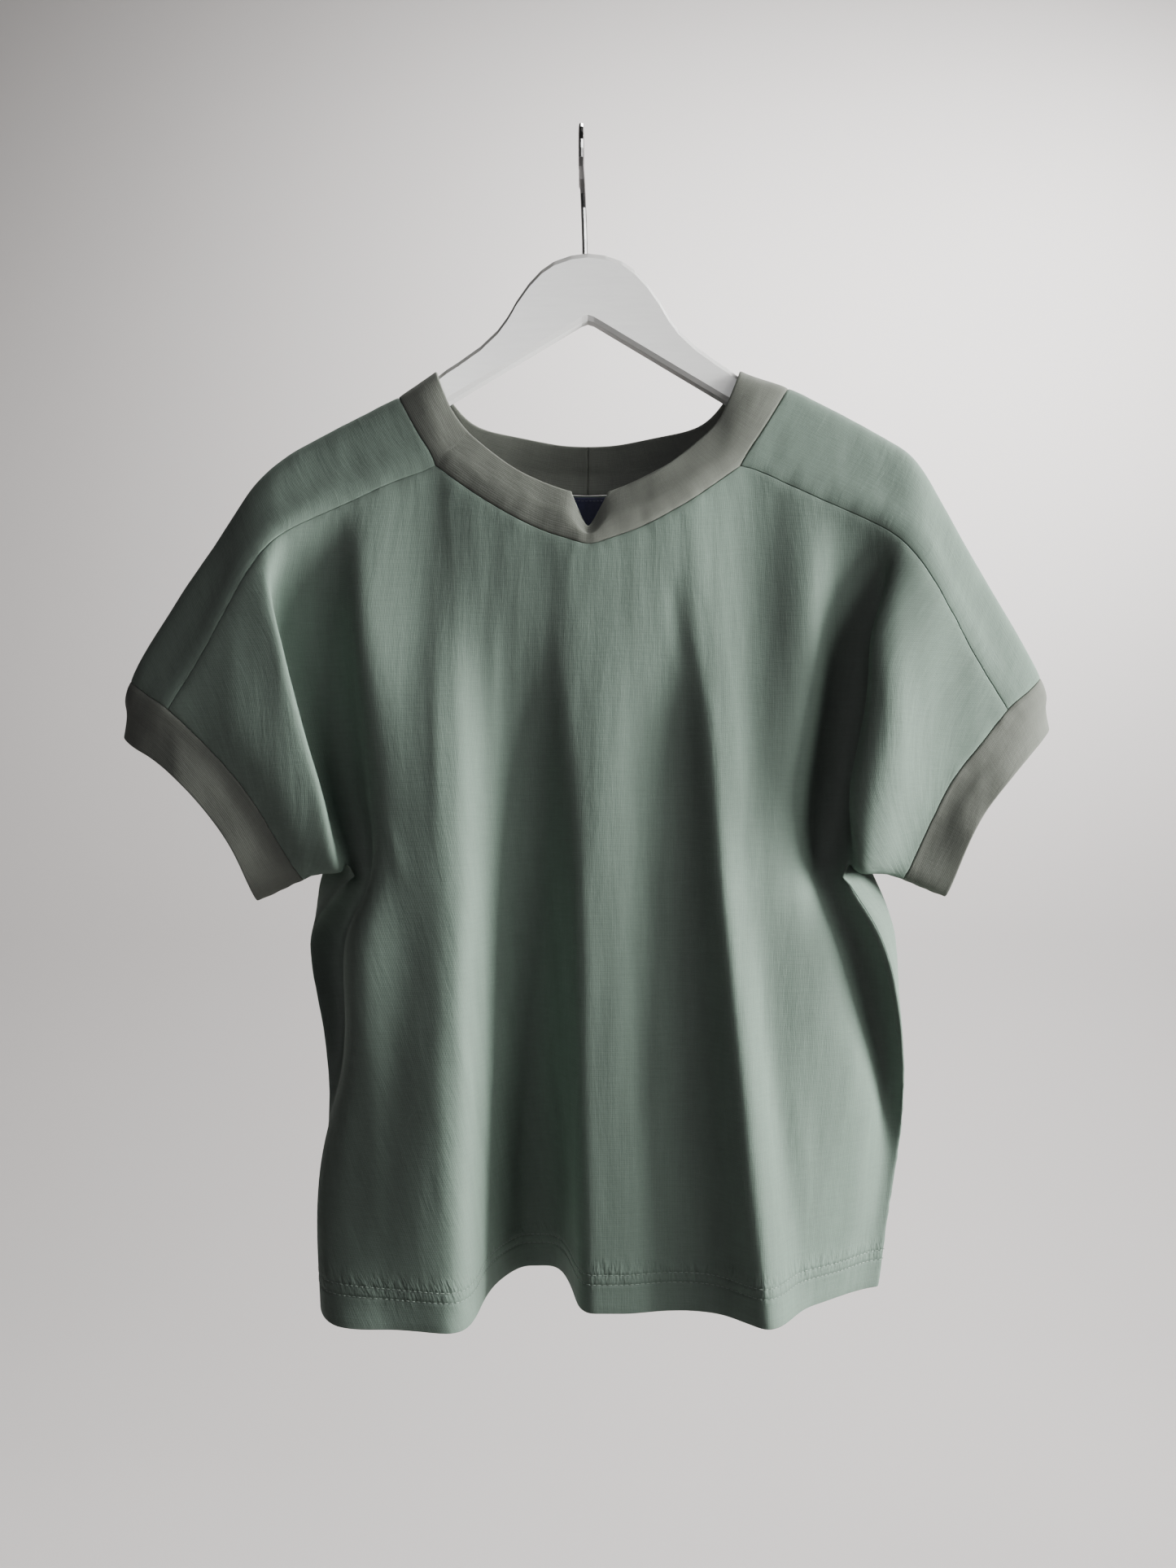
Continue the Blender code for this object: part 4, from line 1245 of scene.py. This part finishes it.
class ShirtSettings(bpy.types.PropertyGroup):
    """Sizes and colours of the shirt and its studio."""

    jersey: bpy.props.FloatProperty(
        name="Jersey", description="Thickness of the jersey", default=1.15 * MM, unit="LENGTH"
    )
    rib: bpy.props.FloatProperty(
        name="Rib", description="Thickness of the doubled rib bands", default=2.2 * MM, unit="LENGTH"
    )
    sage: bpy.props.FloatVectorProperty(
        name="Jersey colour",
        description="Colour of the jersey",
        default=(0.145, 0.2, 0.165),
        subtype="COLOR",
    )
    rib_colour: bpy.props.FloatVectorProperty(
        name="Rib colour",
        description="Colour of the bands",
        default=(0.135, 0.146, 0.125),
        subtype="COLOR",
    )
    thread_colour: bpy.props.FloatVectorProperty(
        name="Thread colour",
        description="Colour of the hem's thread",
        default=(0.185, 0.245, 0.205),
        subtype="COLOR",
    )
    label_colour: bpy.props.FloatVectorProperty(
        name="Label colour",
        description="Colour of the neck label",
        default=(0.02, 0.022, 0.075),
        subtype="COLOR",
    )
    wood_colour: bpy.props.FloatVectorProperty(
        name="Paint colour",
        description="Colour of the hanger's paint",
        default=(0.8, 0.8, 0.79),
        subtype="COLOR",
    )
    wire_colour: bpy.props.FloatVectorProperty(
        name="Wire colour",
        description="Colour of the hook's chrome",
        default=(0.75, 0.75, 0.76),
        subtype="COLOR",
    )
    wale: bpy.props.FloatProperty(
        name="Wale", description="Width of one column of knitted loops", default=0.95 * MM, unit="LENGTH"
    )
    stitch_pitch: bpy.props.FloatProperty(
        name="Stitch pitch",
        description="Length of one hem stitch and its gap",
        default=3.3 * MM,
        unit="LENGTH",
    )
    key_power: bpy.props.FloatProperty(
        name="Key light", description="Power of the large soft light", default=32.0, unit="POWER"
    )
    second_power: bpy.props.FloatProperty(
        name="Second light",
        description="Power of the weaker light nearer the camera",
        default=4.5,
        unit="POWER",
    )
    fill: bpy.props.FloatProperty(
        name="Fill", description="Strength of the light from all round", default=0.008, subtype="FACTOR"
    )


def settings():
    return bpy.context.scene.shirt_settings


def lay_piece(name, paint, thickness, hem=False):
    if Drape.skin is None:
        Drape.lay(SMOOTH_LEVEL)
    tag = PANELS.index(name)
    mesh = shell("cloth_" + name, Drape.skin, tag, thickness / MM, Drape.room, hem)
    piece = stood("cloth_" + name, mesh, paint)
    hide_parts(name)
    return piece


class GARMENT_OT_body(bpy.types.Operator):
    """Lays the front and the back with their turned-up hem"""

    bl_idname = "garment.body"
    bl_label = "Front and back"

    def execute(self, context):
        chosen = settings()
        paint = knit("sage_jersey", tuple(chosen.sage), chosen.wale / MM, JERSEY_COURSE, hem=True)
        lay_piece("front", paint, chosen.jersey, hem=True)
        lay_piece("back", paint, chosen.jersey, hem=True)
        return {"FINISHED"}


class GARMENT_OT_shoulders(bpy.types.Operator):
    """Lays the two shoulder panels"""

    bl_idname = "garment.shoulders"
    bl_label = "Shoulder panels"

    def execute(self, context):
        chosen = settings()
        paint = knit("sage_jersey_shoulder", tuple(chosen.sage), chosen.wale / MM, JERSEY_COURSE)
        for side in SIDES:
            lay_piece("shoulder_" + side, paint, chosen.jersey)
        return {"FINISHED"}


class GARMENT_OT_bands(bpy.types.Operator):
    """Lays the notched neckband and the two cuffs"""

    bl_idname = "garment.bands"
    bl_label = "Neckband and cuffs"

    def execute(self, context):
        chosen = settings()
        paint = knit("grey_green_rib", tuple(chosen.rib_colour), RIB_WALE, RIB_COURSE)
        for name in ("neckband", "cuff_right", "cuff_left"):
            lay_piece(name, paint, chosen.rib)
        return {"FINISHED"}


# Sewing: how near a row's points lie to its height, how far the thread stands off the cloth, its
# thickness, and the share of the pitch that a hem stitch fills
ROW_REACH = 1.2
THREAD_LIFT = 0.1 * MM
HEM_THREAD = 0.45 * MM
HEM_STITCH_SHARE = 0.86
LABEL_PITCH = 2.6 * MM
LABEL_STITCH = 2.1 * MM
LABEL_THREAD = 0.4 * MM

# Label: its grid, half of its thickness at the rim and inside it, and how it hangs off the back
LABEL_COLUMNS = 25
LABEL_ROWS = 15
LABEL_RIM = 0.25 * MM
LABEL_BODY = 0.4 * MM
LABEL_GAP = 0.5 * MM
LABEL_SAG = 0.5 * MM


def row_of(tag, high):
    """The points of the skin at one height above the hem, in order across the piece."""
    flat = Drape.skin.uv_layers["cut"].data
    found = {}
    for face in Drape.skin.polygons:
        if face.material_index == tag:
            for i, k in zip(face.vertices, face.loop_indices):
                vert = Drape.skin.vertices[i]
                if abs(HEM_DROP + vert.co.z / MM - high) < ROW_REACH:
                    found[i] = (flat[k].uv.x, vert.co + vert.normal * THREAD_LIFT)
    return [place for _, place in sorted(found.values(), key=lambda item: item[0])]


class GARMENT_OT_hem_sewing(bpy.types.Operator):
    """Sews the two rows of twin-needle stitches round the hem"""

    bl_idname = "garment.hem_sewing"
    bl_label = "Hem stitches"

    def execute(self, context):
        chosen = settings()
        paint = thread_paint("sage_thread", tuple(chosen.thread_colour))
        pitch = chosen.stitch_pitch
        for name in ("front", "back"):
            lines = [row_of(PANELS.index(name), high) for high in HEM_ROWS]
            sew("hem_stitches_" + name, lines, paint, pitch, pitch * HEM_STITCH_SHARE, HEM_THREAD)
        return {"FINISHED"}


class GARMENT_OT_neck_label(bpy.types.Operator):
    """Hangs the bare woven label inside the back of the neck"""

    bl_idname = "garment.neck_label"
    bl_label = "Neck label"

    def execute(self, context):
        low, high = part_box("label")
        back = bpy.data.objects["cloth_back"].data
        tree = BVHTree.FromPolygons([v.co for v in back.vertices], [p.vertices for p in back.polygons])
        last_column, last_row = LABEL_COLUMNS - 1, LABEL_ROWS - 1
        points, flats, faces = [], [], []
        for side in (0, 1):
            for j in range(LABEL_ROWS):
                for i in range(LABEL_COLUMNS):
                    x = low.x + (high.x - low.x) * i / last_column
                    z = high.z - (high.z - low.z) * j / last_row
                    hit = tree.ray_cast(Vector((x, 0, z)), Vector((0, 1, 0)))[0]
                    rim = i in (0, last_column) or j in (0, last_row)
                    thick = LABEL_RIM if rim else LABEL_BODY
                    sag = LABEL_GAP + LABEL_SAG * (j / last_row) ** 2
                    points.append(hit - Vector((0, sag + side * 2 * thick, 0)))
                    flats.append((x / MM / CUT_UNIT, z / MM / CUT_UNIT))
        count = LABEL_COLUMNS * LABEL_ROWS
        for face in grid_faces(LABEL_COLUMNS, LABEL_ROWS):
            faces += [face, tuple(count + k for k in reversed(face))]
        rim = list(range(LABEL_COLUMNS)) + [j * LABEL_COLUMNS + last_column for j in range(1, LABEL_ROWS)]
        rim += [last_row * LABEL_COLUMNS + i for i in range(last_column - 1, -1, -1)]
        rim += [j * LABEL_COLUMNS for j in range(last_row - 1, 0, -1)]
        for a, b in zip(rim, rim[1:] + rim[:1]):
            faces.append((b, a, count + a, count + b))
        mesh = cloth_mesh("cloth_label", points, faces, flats)
        piece = stood("cloth_label", mesh, label_paint("navy_tape", tuple(settings().label_colour)))
        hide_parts("label")
        thread = thread_paint("navy_thread", shade(settings().label_colour, 1.6))
        inner = points[count + LABEL_COLUMNS + 1 : count + LABEL_COLUMNS + last_column]
        top = [point - Vector((0, THREAD_LIFT, 0)) for point in inner]
        sew("label_stitches", [top], thread, LABEL_PITCH, LABEL_STITCH, LABEL_THREAD)
        return {"FINISHED"}


class GARMENT_OT_hanger(bpy.types.Operator):
    """Paints the wooden hanger and finishes its wire hook"""

    bl_idname = "garment.hanger"
    bl_label = "Hanger and hook"

    def execute(self, context):
        chosen = settings()
        finishes = {
            "hanger_body": wood_paint("white_satin_paint", tuple(chosen.wood_colour)),
            "hanger_hook": chrome("bright_chrome", tuple(chosen.wire_colour)),
        }
        for name, paint in finishes.items():
            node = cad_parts[name]
            node.data.materials.clear()
            node.data.materials.append(paint)
        return {"FINISHED"}


def pale(name, colour):
    """Matt backdrop paper with the least change of tone."""
    paint, tree, own = fresh(name)
    cloud = noise_of(tree, own, 1.3, 2.0, 0.5)
    values = {"Base Color": toned(tree, cloud, colour, 0.985, 1.015, 0.3, 0.7), "Roughness": 0.9}
    return finished(paint, values)


def soft_light(name, place, aim, width, height, power, colour, spread):
    lamp = bpy.data.lights.new(name, "AREA")
    lamp.shape = "RECTANGLE"
    lamp.size = width
    lamp.size_y = height
    lamp.energy = power
    lamp.color = colour
    lamp.spread = spread
    light = shown(name, lamp)
    light.location = place
    light.rotation_euler = (Vector(aim) - Vector(place)).to_track_quat("-Z", "Y").to_euler()
    return light


class GARMENT_OT_studio(bpy.types.Operator):
    """Sets the pale floor and sweep, the soft lights and the camera"""

    bl_idname = "garment.studio"
    bl_label = "Studio"

    def execute(self, context):
        chosen = settings()
        profile = [(SWEEP_NEAR, FLOOR), (SWEEP_START, FLOOR)]
        for step in range(1, SWEEP_STEPS + 1):
            turn = math.pi / 2 * step / SWEEP_STEPS
            y = SWEEP_START + SWEEP_BEND * math.sin(turn)
            profile.append((y, FLOOR + SWEEP_BEND * (1 - math.cos(turn))))
        profile.append((SWEEP_START + SWEEP_BEND, SWEEP_TOP))
        points = [(x, y, z) for y, z in profile for x in (-SWEEP_HALF, SWEEP_HALF)]
        mesh = bpy.data.meshes.new("sweep")
        mesh.from_pydata(points, [], grid_faces(2, len(profile)))
        mesh.shade_smooth()
        mesh.materials.append(pale("pale_sweep", SWEEP_COLOUR))
        shown("sweep", mesh)
        middle = Vector((CENTRE_LEFT_OF_HOOK * MM, 0, MIDDLE_HEIGHT))
        for name, (turn, lift, size, power) in ROUND_LIGHTS.items():
            away = Vector((math.sin(turn), -math.cos(turn), math.tan(lift))) * LIGHTS_AWAY
            power = getattr(chosen, power)
            soft_light(name, middle + away, middle, size, size, power, ROUND_COLOUR, BEAM)
        soft_light("hook_glow", *GLOW).visible_diffuse = False
        soft_light("sweep_wash", *WASH)
        world = bpy.data.worlds.new("studio_air")
        world.use_nodes = True
        air = world.node_tree.nodes["Background"]
        air.inputs["Color"].default_value = AIR_COLOUR
        air.inputs["Strength"].default_value = chosen.fill
        context.scene.world = world
        lens = bpy.data.cameras.new("camera")
        lens.sensor_width = SENSOR
        lens.lens = SENSOR * FOCAL_PIXELS / PHOTO_HEIGHT
        lens.clip_start = 0.01
        lens.clip_end = 20.0
        camera = shown("camera", lens)
        camera.location = CAMERA_PLACE
        camera.rotation_euler = (math.pi / 2, 0, 0)
        context.scene.camera = camera
        return {"FINISHED"}


class GARMENT_PT_shirt(bpy.types.Panel):
    """Lists the shirt's sizes, colours and steps"""

    bl_idname = "GARMENT_PT_shirt"
    bl_label = "T-shirt on a hanger"
    bl_space_type = "VIEW_3D"
    bl_region_type = "UI"
    bl_category = "Garment"

    def draw(self, context):
        for name in ShirtSettings.__annotations__:
            self.layout.prop(context.scene.shirt_settings, name)
        for operator in OPERATORS:
            self.layout.operator(operator.bl_idname)


OPERATORS = (
    GARMENT_OT_body,
    GARMENT_OT_shoulders,
    GARMENT_OT_bands,
    GARMENT_OT_hem_sewing,
    GARMENT_OT_neck_label,
    GARMENT_OT_hanger,
    GARMENT_OT_studio,
)
CLASSES = (ShirtSettings, *OPERATORS, GARMENT_PT_shirt)


def register():
    for kind in CLASSES:
        bpy.utils.register_class(kind)
    bpy.types.Scene.shirt_settings = bpy.props.PointerProperty(type=ShirtSettings)


def unregister():
    del bpy.types.Scene.shirt_settings
    for kind in reversed(CLASSES):
        bpy.utils.unregister_class(kind)


def main():
    register()
    for name in ("body", "shoulders", "bands", "hem_sewing", "neck_label", "hanger", "studio"):
        getattr(bpy.ops.garment, name)()


if __name__ == "__main__":
    main()
